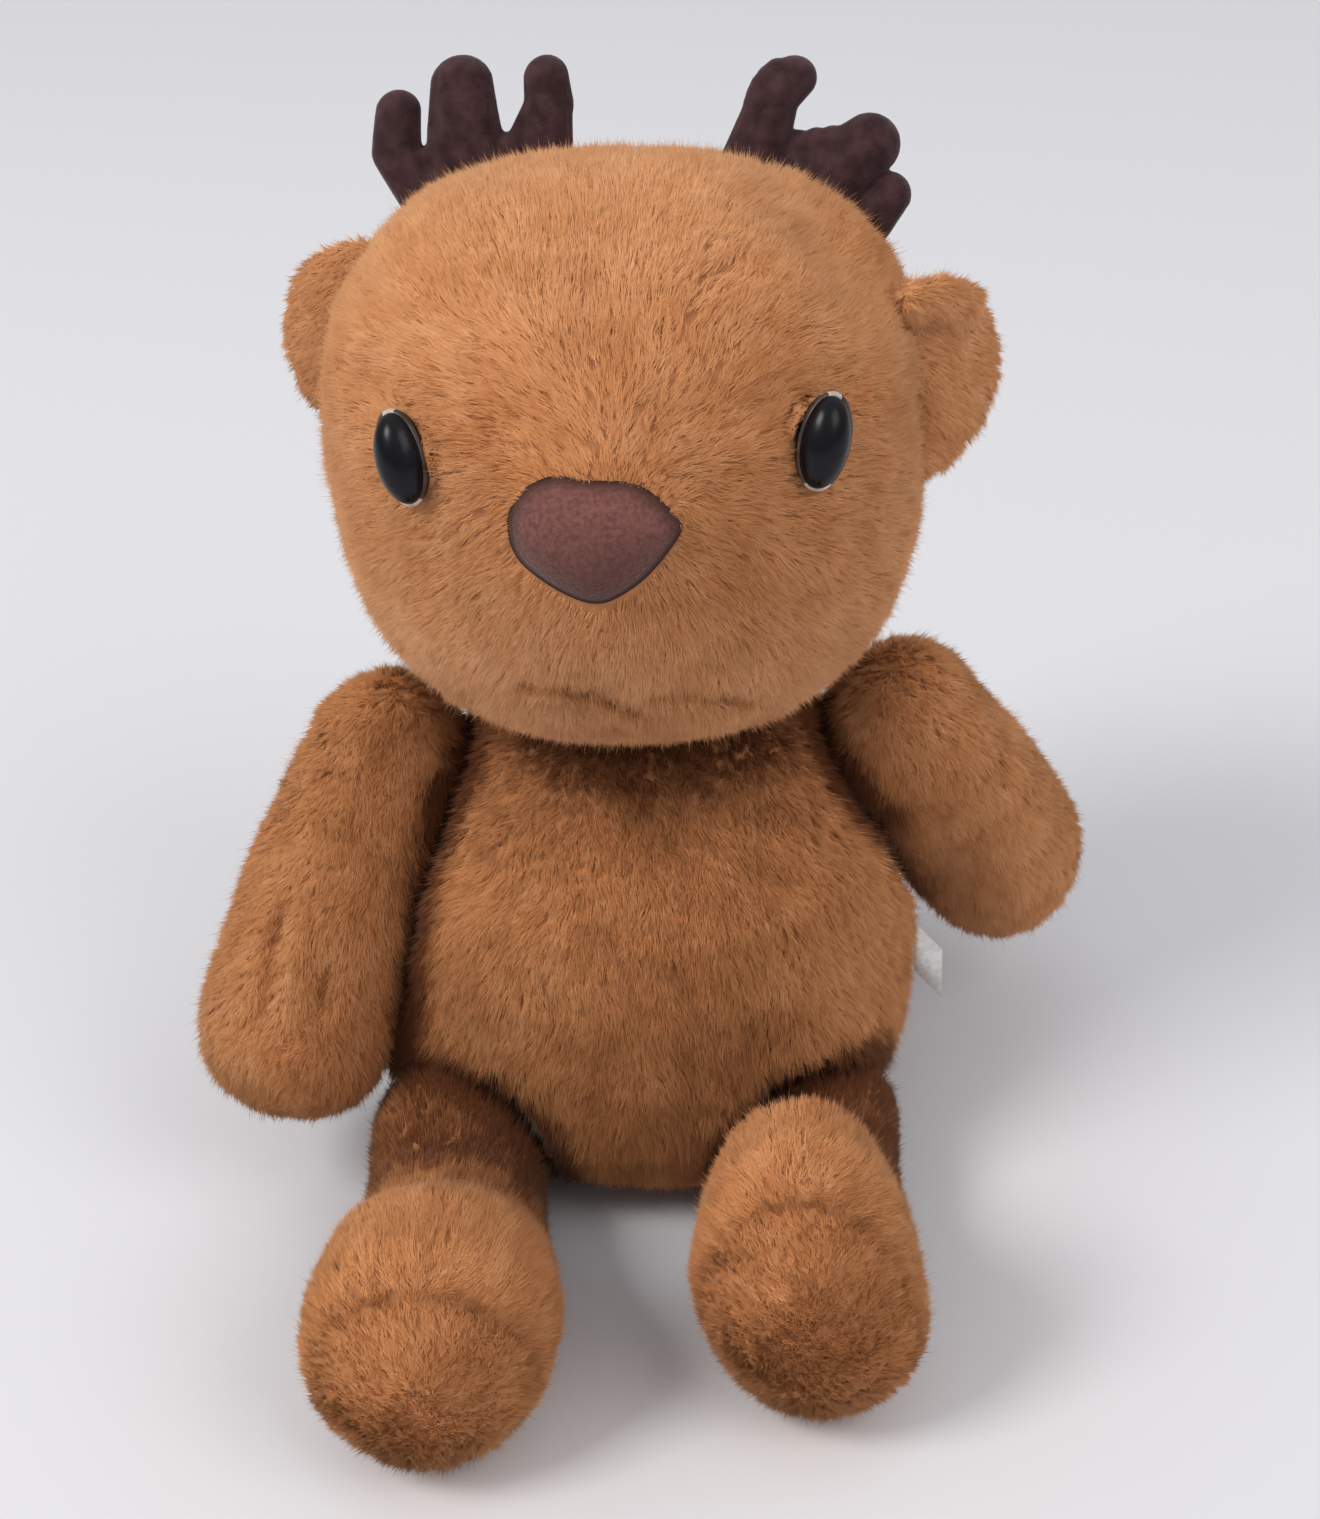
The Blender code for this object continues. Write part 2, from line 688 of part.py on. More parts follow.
def finger(start, end, start_radius, end_radius, thickness):
    """A flat finger with round ends between two places of the XY plane."""
    mesh = ball_mesh(*FINGER_MESH)
    way = end - start
    turn = Vector((0, 0, 1)).rotation_difference(way)
    across = turn.inverted() @ Vector((0, 0, 1))
    for vertex in mesh.verts:
        unit = vertex.co.normalized()
        radius = end_radius if unit.z > 0 else start_radius
        base = Vector((0, 0, way.length if unit.z > 0 else 0.0))
        out = unit.dot(across)
        spot = (unit - across * out) * radius + across * out * thickness
        vertex.co = start + turn @ (base + spot)
    return mesh


def make_antlers(trim, home, cutters):
    """Flat stuffed antlers: a palm and three tines, of which the outer one bends up."""
    for name, side in SIDES.items():
        place = on_head(ANTLER_SPREAD[name] * side, ANTLER_BACK, ANTLER_RISE[name])
        spin = HEAD_SPIN @ Quaternion((0, 1, 0), math.radians(ANTLER_SPLAY[name] * side))
        axes = spin.to_matrix() @ Matrix(((side, 0, 0), (0, 0, -1), (0, 1, 0)))
        antler = None
        for number, (start, end, first, last, depth) in enumerate(FINGER_SHARES):
            lean = MIDDLE_TINE_LEAN_SHARE[name] if number == MIDDLE_TINE else 0.0
            tip = Vector((end[0] + lean, end[1], 0.0))
            mesh = finger(Vector((*start, 0.0)) * ANTLER_SIZE, tip * ANTLER_SIZE,
                          first * ANTLER_SIZE, last * ANTLER_SIZE,
                          depth * ANTLER_HALF_THICKNESS)
            mesh.transform(Matrix.Translation(place) @ axes.to_4x4())
            face_out(mesh)
            if antler is None:
                antler = object_from(mesh, "antler_" + name, home, FELT)
                triangulate(antler)
            else:
                tine = cutter_from(mesh, "tine_%s_%d" % (name, number), cutters)
                boolean(antler, tine, "UNION")
        boolean(antler, trim)


def make_arms(home, cutters):
    """Arms that taper little, with a round paw; a hole faces the body where they are sewn."""
    for name, side in SIDES.items():
        seat = SEATS["shoulder_" + name]
        form = form_mesh(arm_point(name), ARM_MESH)
        inner = form.copy()
        skin = object_from(form, "arm_%s_skin" % name, home, FUR)
        sew(skin)
        triangulate(skin)
        shrink(inner, WALL + FILL_CLEAR)
        object_from(inner, "arm_%s_stuffing" % name, home, FIBRE)
        axes = frame_along(-seat.hinge, Vector((0, 1, 0)))
        hole = cylinder("seam_hole_" + name, ARM_HOLE_RADIUS, ARM_BALL - WALL - FILL_CLEAR,
                        ARM_BALL + OVERRUN, axes, seat.centre, cutters)
        boolean(skin, hidden(hole))


def make_legs(home):
    """Legs that lie on the floor and end in upright feet, each with its own sole."""
    for name in SIDES:
        form = form_mesh(leg_point(name), LEG_MESH, LEG_HOLE, 1, SOLE_RINGS)
        cut_level(form, 0.0)
        sole = form_mesh(leg_point(name), LEG_MESH, LEG_HOLE, 1, SOLE_RINGS, SOLE_DRAWN_SHARE)
        cut_level(sole, 0.0)
        inner = form.copy()
        keep_marked(form, PLAIN)
        sew(object_from(form, "leg_%s_skin" % name, home, FUR))
        keep_marked(sole, SOLE)
        sew(object_from(sole, "leg_%s_sole" % name, home, DARK_FUR), SOLE_WALL)
        shrink(inner, WALL + FILL_CLEAR)
        object_from(inner, "leg_%s_stuffing" % name, home, FIBRE)


def body_seat(height, around):
    """Where the body's side is met by a level line at a height, at a turn from its back."""
    tree = BVHTree.FromBMesh(form_mesh(body_point, BODY_MESH))
    way = Vector((math.sin(math.radians(around)), math.cos(math.radians(around)), 0.0))
    start = Vector((0.0, 0.0, height)) + way * (BODY_HALF_WIDTH + BODY_HALF_WIDTH)
    place, normal, _, _ = tree.ray_cast(start, -way)
    return place, normal


def make_tail(home, cutters):
    """A short flat tail that swells and tapers, trimmed by the body it is sewn on."""
    place, _ = body_seat(TAIL_HEIGHT, 0.0)
    tilt = Quaternion((1, 0, 0), math.radians(-TAIL_TILT))
    mesh = ball_mesh(*EAR_MESH)
    for vertex in mesh.verts:
        unit = vertex.co.normalized()
        taper = 1.0 - TAIL_TAPER_SHARE * max(0.0, unit.z)
        spot = Vector((unit.x * TAIL_HALF_WIDTH * taper, unit.y * TAIL_HALF_THICKNESS * taper,
                       unit.z * TAIL_LENGTH))
        vertex.co = place + tilt @ spot
    face_out(mesh)
    tail = object_from(mesh, "tail", home, FUR)
    triangulate(tail)
    boolean(tail, cutter_from(body_form(-CLEAR), "body_trim", cutters))


def make_label(home):
    """A blank ribbon whose edge is sewn in the upright side seam; it droops and bends back."""
    start, normal = body_seat(LABEL_HEIGHT, LABEL_AROUND)
    normal = level(normal)
    aside = Vector((0, 0, 1)).cross(normal)
    droop = math.radians(LABEL_DROOP)
    down = Vector((0, 0, -1)) * math.sin(droop)
    middle = start + normal * LABEL_CLEAR
    angle = 0.0
    mesh = bmesh.new()
    rows = []
    for step in range(LABEL_STEPS + 1):
        half = Vector((0, 0, LABEL_WIDTH / 2.0))
        rows.append([mesh.verts.new(middle - half), mesh.verts.new(middle + half)])
        out = (normal * math.cos(angle) + aside * math.sin(angle)) * math.cos(droop)
        middle = middle + (out + down) * (LABEL_LENGTH / LABEL_STEPS)
        angle += math.radians(LABEL_BEND / LABEL_STEPS)
    for first, second in zip(rows, rows[1:]):
        mesh.faces.new((first[0], first[1], second[1], second[0]))
    label = object_from(mesh, "side_label", home, WHITE_RIBBON, smooth=False)
    solid = label.modifiers.new("ribbon", "SOLIDIFY")
    solid.thickness = LABEL_THICKNESS
    solid.offset = 0.0


def main():
    remove_everything()
    home = collection("plush_deer")
    cutters = collection("cutters")
    for name, side in SIDES.items():
        SEATS["shoulder_" + name] = shoulder_seat(side)
        SEATS["shoulder_" + name].measure(form_mesh(arm_point(name), ARM_MESH))
        SEATS["hip_" + name] = hip_seat(name)
        SEATS["hip_" + name].measure(form_mesh(leg_point(name), LEG_MESH))
    make_body(home, cutters)
    make_neck(home)
    tree = make_head(home, cutters)
    trim = head_trim(cutters)
    make_nose(tree, trim, home)
    make_ears(trim, home)
    make_antlers(trim, home, cutters)
    make_arms(home, cutters)
    make_legs(home)
    make_tail(home, cutters)
    make_label(home)


main()
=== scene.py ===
"""Looks for the sitting plush deer: plush skins with a grown pile, suede, glossy eyes, studio."""
import json
import math

import bmesh
import bpy
import numpy as np
from mathutils import Matrix, Vector
from mathutils.bvhtree import BVHTree


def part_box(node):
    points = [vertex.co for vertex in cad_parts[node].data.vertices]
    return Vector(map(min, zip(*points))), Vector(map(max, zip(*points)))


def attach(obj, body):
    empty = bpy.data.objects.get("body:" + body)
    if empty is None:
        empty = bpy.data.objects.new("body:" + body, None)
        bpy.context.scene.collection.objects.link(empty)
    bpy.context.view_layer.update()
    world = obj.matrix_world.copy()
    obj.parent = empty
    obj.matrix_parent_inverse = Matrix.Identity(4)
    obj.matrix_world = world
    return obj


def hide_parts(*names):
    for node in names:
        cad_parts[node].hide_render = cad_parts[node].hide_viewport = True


# Photograph and camera
PHOTO_WIDTH = 1320
SENSOR = 36.0
FOCAL_PX = 2400.0
ELEVATION = 32.0
DISTANCE = 0.450
ROLL = 3.0
LOOK_AT = Vector((0.0025, -0.0015, 0.080))

# Pile: its depth over the backing cloth, and the clumps and strands that make it
HEAD_DEPTH = 0.0021
LIMB_DEPTH = 0.0013
FOOT_DEPTH = 0.0014
WAD_DEPTH = 0.0016
STRAND_LENGTH = 0.0032
STRAND_HALF_WIDTH = 0.000095
ROUNDNESS = 0.35
STRAND_LIFT = 0.62
STRAND_LAY = 0.74
STRAY_SHARE = 0.06
CLUMPS_PER_MM2 = 1.6
CLUMP_STRANDS = 9
CLUMP_RADIUS = 0.00062
CLUMP_PULL = 0.20
PIECE_STRANDS = 60000
FLOOR_CLEAR = 0.0002
STRAND_FACES = np.array(((0, 1, 3), (1, 2, 3), (2, 0, 3)))

# Pile: how clumps and strands differ; swirls are scale, offset and weight of a noise in the
# nap, and patches are scale, channel and weight of a noise in the tone
NAP_SWIRLS = ((0.011, 0.0, 0.50), (0.0032, 0.5, 0.36))
TONE_PATCHES = ((0.018, 0, 0.09), (0.0042, 1, 0.12), (0.0014, 0, 0.10))
TONE_SPREAD = 0.05
CLUMP_TURN = 0.17
CLUMP_LENGTH = 0.86
CLUMP_LENGTH_SPREAD = 0.14
CLUMP_LENGTH_WAVE = 0.12
CLUMP_WAVE_SCALE = 0.005
CLUMP_LIFT_SPREAD = 0.08
STRAND_TURN = 0.20
STRAND_LENGTHS = (0.72, 1.12)
STRAND_WIDTHS = (0.7, 1.3)
STRAND_PULLS = (0.4, 1.2)
STRAND_LIFT_SPREAD = 0.09
STRAY_LENGTH = 1.15
STRAY_WIDTH = 0.8
STRAY_PULL = 0.2
STRAY_LIFT = 0.22

# Pile: longer where pieces meet, and darkened there with painted shade
CONTACT_REACH = 0.010
CONTACT_LONGER = 0.5
CONTACT_PAINTED_SHADE = 1.05
# Painted shadow of the head on the body below it
NECK_REACH = 0.024
NECK_PAINTED_SHADOW = 0.48
# Painted shade on the legs near the hips
HIP_REACH = 0.030
HIP_DARK_FROM = 1.7
HIP_PAINTED_SHADE = 0.56

# Pile: tones, strand lengths, naps and seeds by part
# Tones differing between parts and sides are painted light and shade, set to how each part is lit
HEAD_TONE = 0.62
# Painted shade under the head lowers the body's tone
BODY_TONE = 0.48
TAIL_TONE = 0.50
EAR_TONE = {"left": 0.72, "right": 0.60}
ARM_TONE = {"left": 0.60, "right": 0.56}
LEG_TONE = {"left": 0.52, "right": 0.58}
SOLE_TONE = {"left": 0.46, "right": 0.56}
EAR_STRAND = 0.0024
FOOT_STRAND = 0.0027
BODY_NAP = np.array((0.0, -0.30, -1.0))
SOLE_NAP = np.array((0.0, 0.30, 1.0))
ARM_NAP = np.array((0.0, -0.8, -0.35))
LEG_NAP = np.array((0.0, 0.0, 0.45))
EAR_NAP = np.array((0.0, 0.2, -0.9))
EAR_NAP_OUT = 0.5
HEAD_SEED = 101
BODY_SEED = 102
ARM_SEED = 110
LEG_SEED = 120
SOLE_SEED = 130
EAR_SEED = 140
TAIL_SEED = 150

# Where soft forms are pressed or swollen: place, reach and shift
HEAD_NUDGES = (((0.0386, -0.0150, 0.1840), 0.014, (-0.0028, 0.0010, -0.0036)),
               ((-0.0030, 0.0, 0.1970), 0.010, (0.0, 0.0, 0.0010)))
BODY_NUDGES = (((-0.047, -0.010, 0.034), 0.016, (-0.0068, -0.0010, 0.0)),
               ((-0.047, -0.014, 0.024), 0.012, (-0.0040, -0.0010, 0.0)),
               ((-0.043, -0.019, 0.056), 0.013, (-0.0034, 0.0, 0.0)),
               ((0.046, -0.010, 0.074), 0.010, (-0.0014, 0.0, 0.0)),
               ((0.047, -0.008, 0.048), 0.010, (0.0010, 0.0, 0.0)),
               ((-0.037, 0.010, 0.086), 0.010, (0.0, 0.0, 0.0032)),
               ((0.037, 0.010, 0.086), 0.010, (0.0, 0.0, 0.0032)))
ARM_NUDGES = {"left": (((0.0850, 0.0150, 0.0400), 0.016, (-0.0040, 0.0, 0.0024)),
                       ((0.0620, 0.0030, 0.0450), 0.012, (0.0018, 0.0, 0.0018)),
                       ((0.0500, 0.0040, 0.0920), 0.012, (0.0, 0.0, 0.0032))),
              "right": (((-0.0780, -0.0150, 0.0400), 0.015, (0.0022, 0.0, 0.0042)),
                        ((-0.0700, -0.0020, 0.0640), 0.014, (-0.0018, 0.0, 0.0006)),
                        ((-0.0500, 0.0040, 0.0920), 0.012, (0.0018, 0.0, 0.0020)))}
LEG_NUDGES = {"left": (((0.045, -0.070, 0.046), 0.022, (-0.0042, 0.0, 0.0)),
                       ((0.014, -0.097, 0.026), 0.018, (-0.0020, 0.0, 0.0)),
                       ((0.043, -0.100, 0.012), 0.015, (0.0038, -0.0026, 0.0))),
              "right": (((-0.047, -0.045, 0.025), 0.014, (-0.0028, 0.0, 0.0)),
                        ((-0.046, -0.030, 0.026), 0.014, (-0.0038, 0.0, 0.0020)),
                        ((-0.056, -0.100, 0.018), 0.017, (-0.0020, -0.0006, 0.0)),
                        ((-0.020, -0.090, 0.035), 0.014, (0.0024, 0.0, 0.0)))}
ANTLER_NUDGES = {"left": (((0.036, 0.018, 0.188), 0.050, (-0.0013, 0.0, 0.0)),
                          ((0.031, 0.021, 0.203), 0.006, (-0.0005, 0.0, -0.0008))),
                 "right": (((-0.0376, 0.0255, 0.190), 0.009, (-0.0010, 0.0, 0.0)),
                           ((-0.0245, 0.0283, 0.2045), 0.008, (0.0006, 0.0, -0.0003)),
                           ((-0.0106, 0.0270, 0.2044), 0.008, (0.0006, 0.0, 0.0)))}
EAR_NUDGES = {"left": (((0.058, 0.004, 0.158), 0.050, (0.0005, -0.0015, 0.0008)),),
              "right": (((-0.058, 0.004, 0.158), 0.050, (0.0016, 0.0, 0.0004)),)}
EAR_WEBS = {"left": ((0.0480, 0.0020, 0.1700, 0.0042), (0.0530, 0.0030, 0.1690, 0.0042),
                     (0.0576, 0.0040, 0.1655, 0.0040)),
            "right": ()}

# Forms: the weld of the CAD meshes, and the grids that close and round them
WELD = 0.00001
NEAR = 0.0006
FLAT_ANGLE = math.radians(30)
SHAPE_ANGLE = math.radians(60)
SOFTEN = 0.5
SKIN_VOXEL = 0.0012
SKIN_ROUNDS = 6
FILL_OUT = 0.0013
SWELL_SCALE = 0.014
SKIN_SWELL = 0.0006
HEAD_SWELL = 0.0009
LEG_SWELL = 0.0004
TAIL_ROOT = Vector((0, 0, 0.03))
TAIL_SINK = 0.003
TAIL_VOXEL = 0.0008
TAIL_ROUNDS = 8
WEB_SEGMENTS = 16
WEB_RINGS = 10
ANTLER_SINK = 0.006
ANTLER_VOXEL = 0.0004
ANTLER_ROUNDS = 8
ANTLER_PUFF = 0.0002
SEAM_ROUNDS = 30
SEAM_REACH = 0.006
SOLE_DOME = 0.0030
SOLE_DOME_REACH = 0.015

# Pile colours, from the darkest to the lightest; the darkest end serves painted shade in crevices
DARK_PILE = np.array((0.16, 0.050, 0.017))
MID_PILE = np.array((0.68, 0.285, 0.108))
LIGHT_PILE = np.array((0.93, 0.480, 0.235))
TONES = 9

# Creases pressed or stitched into the pile, as places across (X) and up (Z) on the front
MOUTH = (((-0.0190, 0.1203), (-0.0149, 0.1203), (-0.0097, 0.1195), (-0.0068, 0.1197),
          (-0.0038, 0.1161), (0.0000, 0.1131)),
         ((0.0022, 0.1181), (0.0084, 0.1185), (0.0174, 0.1136)))
PAW_CREASES = (((-0.0680, 0.0655), (-0.0705, 0.0580), (-0.0722, 0.0500)),
               ((-0.0605, 0.0550), (-0.0622, 0.0500)))
PAW_SHARE = 0.5
CREASE_WIDTH = 0.0011
CREASE_DEPTH = 0.0012
# Creases and seams take shorter pile, darkened with painted shade
CREASE_PAINTED_SHADE = 0.55
CREASE_SHORTER = 0.40
SEAM_SHARE = 0.45

# Ears: how far the root leans over the head's side, where it starts and the reach of the ear
EAR_LEAN = {"left": np.array((-0.0010, -0.0100, 0.0)), "right": np.array((0.0, -0.0010, 0.0))}
EAR_SINK = 0.004
EAR_VOXEL = 0.0010
EAR_ROUNDS = 22
EAR_ROOT = 0.046
EAR_REACH = 0.018
# Painted shade in the hollow of the ear's front
EAR_HOLLOW_AT = 0.25
EAR_HOLLOW_REACH = 0.3
EAR_HOLLOW_PAINTED_SHADE = 0.12
EAR_FRONT = 0.008

# Webs of cloth between the tines: places and radii
ANTLER_WEBS = {
    "left": ((0.0329, 0.0195, 0.1888, 0.0027), (0.0359, 0.0184, 0.1896, 0.0025),
             (0.0387, 0.0183, 0.1897, 0.0026), (0.0258, 0.0196, 0.1894, 0.0028),
             (0.0260, 0.0200, 0.1918, 0.0028), (0.0262, 0.0205, 0.1943, 0.0028),
             (0.0265, 0.0207, 0.1959, 0.0028), (0.0270, 0.0209, 0.1973, 0.0028),
             (0.0278, 0.0211, 0.1988, 0.0028), (0.0289, 0.0213, 0.2003, 0.0027),
             (0.0302, 0.0216, 0.2014, 0.0026)),
    "right": ((-0.0176, 0.0240, 0.1898, 0.0025),),
}

# Eyes: the dome, and the rim as shares of the half sizes and heights
EYE_AROUND = 96
EYE_DOME = 0.0043
EYE_DOME_STEPS = 14
EYE_DOME_TOP = 0.02
EYE_BACK = -0.0016
EYE_RIM_BAND = 0.0004
EYE_RIM_SINK = 0.0002
EYE_SHIFT = 0.0004
EYE_RIM_PROFILE = ((0.5, EYE_BACK), (0.97, EYE_BACK), (1.02, -0.0008), (1.01, -0.0002),
                   (0.95, 0.0001), (0.8, 0.0), (0.5, -0.0002))
EYE_RIM_UPPER_END = 0.96
EYE_RIM_LOWER_END = 0.88

# Head pile round the eyes and the nose, in shares of their sizes
FAR = 9.0
INNER_BAND = 0.002
NOSE_BARE = 0.96
EYE_BARE_LESS = 0.20
TRIM_SHORTEST = 0.68
TRIM_RISE = 0.32
TRIM_FROM = 0.9
TRIM_FADE = 0.7
EYE_TRIM_LESS = 0.15
EYE_NAP_AT = 0.9
EYE_NAP_FADE = 0.5
EYE_NAP_OUT = 0.8
EYE_NAP_IN = 1.0

# Head pile over the whole head
HEAD_NAP = np.array((0.0, 0.0, -0.25))
BACK_NAP = np.array((0.0, 0.0, -0.9))
BACK_FADE = 0.03
HEAD_HALF = 0.05
# Painted light on the crown and the picture-left cheek; the low face lighter for its paler pile
# and with painted light
CROWN_FROM = 0.3
CROWN_PAINTED_LIGHT = 0.16
LOW_LIGHTER = 0.10
CHEEK_FROM = 0.015
CHEEK_FADE = 0.02
CHEEK_PAINTED_LIGHT = 0.08
# Painted shade round the nose's edge
NOSE_EDGE_REACH = 0.0012
NOSE_EDGE_PAINTED_SHADE = 0.55

# Nose: anchors of its outline as shares of its half sizes, from the right-hand corner on
NOSE_ANCHORS = (
    (1.00, 0.14), (0.93, 0.32), (0.72, 0.62), (0.45, 0.83), (0.16, 0.87), (-0.03, 0.87),
    (-0.26, 0.91), (-0.46, 0.95), (-0.76, 0.80), (-0.94, 0.52), (-1.00, 0.13),
    (-0.88, -0.33), (-0.56, -0.70), (-0.23, -0.94), (0.03, -1.02), (0.26, -0.93),
    (0.59, -0.62), (0.89, -0.14),
)
NOSE_CENTRE = (-0.0058, 0.1500)
NOSE_HALF_WIDTH = 0.0135
NOSE_HALF_HEIGHT = 0.0100
NOSE_LEAN = 0.4
NOSE_SWELL = 0.0046
NOSE_FLATNESS = 2.6
NOSE_ROUNDNESS = 0.7
NOSE_LIFT = 0.0007
NOSE_SEAM_ROWS = ((0.97, -0.0020), (1.01, -0.0004), (1.01, 0.0001))
# Painted shade on the nose: darker to its seam edge and its underside, a little at its apex
NOSE_DARK_FROM = 0.80
NOSE_RIM_PAINTED_SHADE = 0.9
NOSE_UNDERSIDE_PAINTED_SHADE = 0.55
NOSE_LOW_FROM = 0.35
NOSE_LOW_FADE = 0.6
NOSE_APEX_PAINTED_SHADE = 0.1
NOSE_RINGS = 12
NOSE_STEPS = 6

# Label
LABEL_HALF = 0.0003
LABEL_FACING = 0.6
RIBBON_THICKNESS = 0.0003

# Studio
FLOOR_COLOUR = (0.76, 0.76, 0.785)
FLOOR_HALF = 3.0
BACKDROP_COLOUR = (0.66, 0.66, 0.69)
KEY_PLACE = (-1.40, -0.75, 1.80)
KEY_SIZE = 0.80
KEY_POWER = 26.0
KEY_COLOUR = (1.0, 0.98, 0.95)
FILL_PLACE = (1.20, -1.10, 1.60)
FILL_SIZE = 1.20
FILL_POWER = 11.0
FILL_COLOUR = (1.0, 0.98, 0.96)
LAMP_AIM = Vector((0, 0, 0.08))
SKY_COLOUR = (0.96, 0.97, 1.0)
SKY_LOW = 0.32
SKY_HIGH = 0.78

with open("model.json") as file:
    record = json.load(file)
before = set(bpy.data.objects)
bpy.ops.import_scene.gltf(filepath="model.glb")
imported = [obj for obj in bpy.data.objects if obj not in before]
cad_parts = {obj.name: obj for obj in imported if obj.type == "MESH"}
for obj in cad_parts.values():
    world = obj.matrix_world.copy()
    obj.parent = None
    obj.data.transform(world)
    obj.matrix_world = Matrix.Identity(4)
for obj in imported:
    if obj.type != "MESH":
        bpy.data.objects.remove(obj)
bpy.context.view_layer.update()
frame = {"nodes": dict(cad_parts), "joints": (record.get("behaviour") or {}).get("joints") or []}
NODES = frame["nodes"]
JOINTS = {joint["name"]: Vector(joint["pos_m"]) for joint in frame["joints"]}


class Noise:
    """Smooth random values over space, from a seeded lattice."""

    SIZE = 48

    def __init__(self, seed, channels=1):
        self.table = np.random.default_rng(seed).uniform(-1, 1, (self.SIZE,) * 3 + (channels,))

    def at(self, points, scale):
        spots = np.asarray(points) / scale + self.SIZE
        low = np.floor(spots).astype(int)
        part = spots - low
        part = part * part * (3 - 2 * part)
        total = 0
        for corner in range(8):
            step = np.array((corner & 1, corner >> 1 & 1, corner >> 2 & 1))
            share = np.prod(np.where(step, part, 1 - part), axis=1)
            i, j, k = ((low + step) % self.SIZE).T
            total = total + self.table[i, j, k] * share[:, None]
        return total


LUMPS = Noise(11)
SWIRLS = Noise(12, 3)
PATCHES = Noise(13, 2)


def eased(values):
    values = np.clip(values, 0, 1)
    return values * values * (3 - 2 * values)


def closeness(points, trees, reach=CONTACT_REACH):
    """1 where points touch some surfaces, falling to 0 at a reach."""
    away = np.array([min(tree.find_nearest(point)[3] for tree in trees) for point in points])
    return eased(1 - away / reach)


def unit(vectors):
    return vectors / np.maximum(np.linalg.norm(vectors, axis=-1, keepdims=True), 1e-12)


def view_axes():
    """The photograph's right, up and backward ways."""
    tilt = math.radians(ELEVATION)
    roll = math.radians(ROLL)
    back = Vector((0, -math.cos(tilt), math.sin(tilt)))
    right = Vector((1, 0, 0))
    up = back.cross(right)
    return (right * math.cos(roll) - up * math.sin(roll),
            right * math.sin(roll) + up * math.cos(roll), back)


def distance_to(points, lines):
    """The distance from points to the nearest of some broken lines."""
    best = np.full(len(points), np.inf)
    for line in lines:
        for start, end in zip(line, line[1:]):
            start = np.array(start)
            way = np.array(end) - start
            share = np.clip((points - start) @ way / (way @ way), 0, 1)
            away = points - start - share[:, None] * way
            best = np.minimum(best, np.linalg.norm(away, axis=1))
    return best


# Materials
def principled(name, colour, roughness, **sockets):
    material = bpy.data.materials.new(name)
    material.use_nodes = True
    shader = material.node_tree.nodes["Principled BSDF"]
    shader.inputs["Base Color"].default_value = (*colour, 1)
    shader.inputs["Roughness"].default_value = roughness
    for socket, value in sockets.items():
        shader.inputs[socket.replace("_", " ")].default_value = value
    material.diffuse_color = (*colour, 1)
    return material


def mottled(name, dark, light, scale, roughness, bump=0.0, bump_scale=0.0, **sockets):
    """A material whose colour wanders between two tones, with a fine bump."""
    material = principled(name, light, roughness, **sockets)
    nodes, links = material.node_tree.nodes, material.node_tree.links
    shader = nodes["Principled BSDF"]
    where = nodes.new("ShaderNodeTexCoord")
    noise = nodes.new("ShaderNodeTexNoise")
    noise.inputs["Scale"].default_value = 1 / scale
    noise.inputs["Detail"].default_value = 6.0
    ramp = nodes.new("ShaderNodeValToRGB")
    ramp.color_ramp.elements[0].position = 0.35
    ramp.color_ramp.elements[0].color = (*dark, 1)
    ramp.color_ramp.elements[1].position = 0.65
    ramp.color_ramp.elements[1].color = (*light, 1)
    links.new(where.outputs["Object"], noise.inputs["Vector"])
    links.new(noise.outputs["Fac"], ramp.inputs["Fac"])
    links.new(ramp.outputs["Color"], shader.inputs["Base Color"])
    if bump:
        fine = nodes.new("ShaderNodeTexNoise")
        fine.inputs["Scale"].default_value = 1 / bump_scale
        fine.inputs["Detail"].default_value = 3.0
        height = nodes.new("ShaderNodeBump")
        height.inputs["Strength"].default_value = bump
        height.inputs["Distance"].default_value = bump_scale
        links.new(where.outputs["Object"], fine.inputs["Vector"])
        links.new(fine.outputs["Fac"], height.inputs["Height"])
        links.new(height.outputs["Normal"], shader.inputs["Normal"])
    return material


def darkened(material, attribute, colour):
    """Leads a material's colour to a dark one by an attribute of its mesh."""
    nodes, links = material.node_tree.nodes, material.node_tree.links
    shader = nodes["Principled BSDF"]
    value = nodes.new("ShaderNodeAttribute")
    value.attribute_name = attribute
    mix = nodes.new("ShaderNodeMix")
    mix.data_type = "RGBA"
    links.new(value.outputs["Fac"], mix.inputs[0])
    links.new(shader.inputs["Base Color"].links[0].from_socket, mix.inputs[6])
    mix.inputs[7].default_value = (*colour, 1)
    links.new(mix.outputs[2], shader.inputs["Base Color"])
    return material


def pile_materials():
    """One material for each tone of the pile, darkest first."""
    materials = []
    for tone in range(TONES):
        share = 2 * tone / (TONES - 1)
        if share < 1:
            colour = DARK_PILE + (MID_PILE - DARK_PILE) * share
        else:
            colour = MID_PILE + (LIGHT_PILE - MID_PILE) * (share - 1)
        materials.append(principled("pile_%d" % tone, colour, 0.8, Sheen_Weight=0.08,
                                    Sheen_Roughness=0.5, Sheen_Tint=(1, 0.8, 0.6, 1),
                                    Specular_IOR_Level=0.15))
    return materials


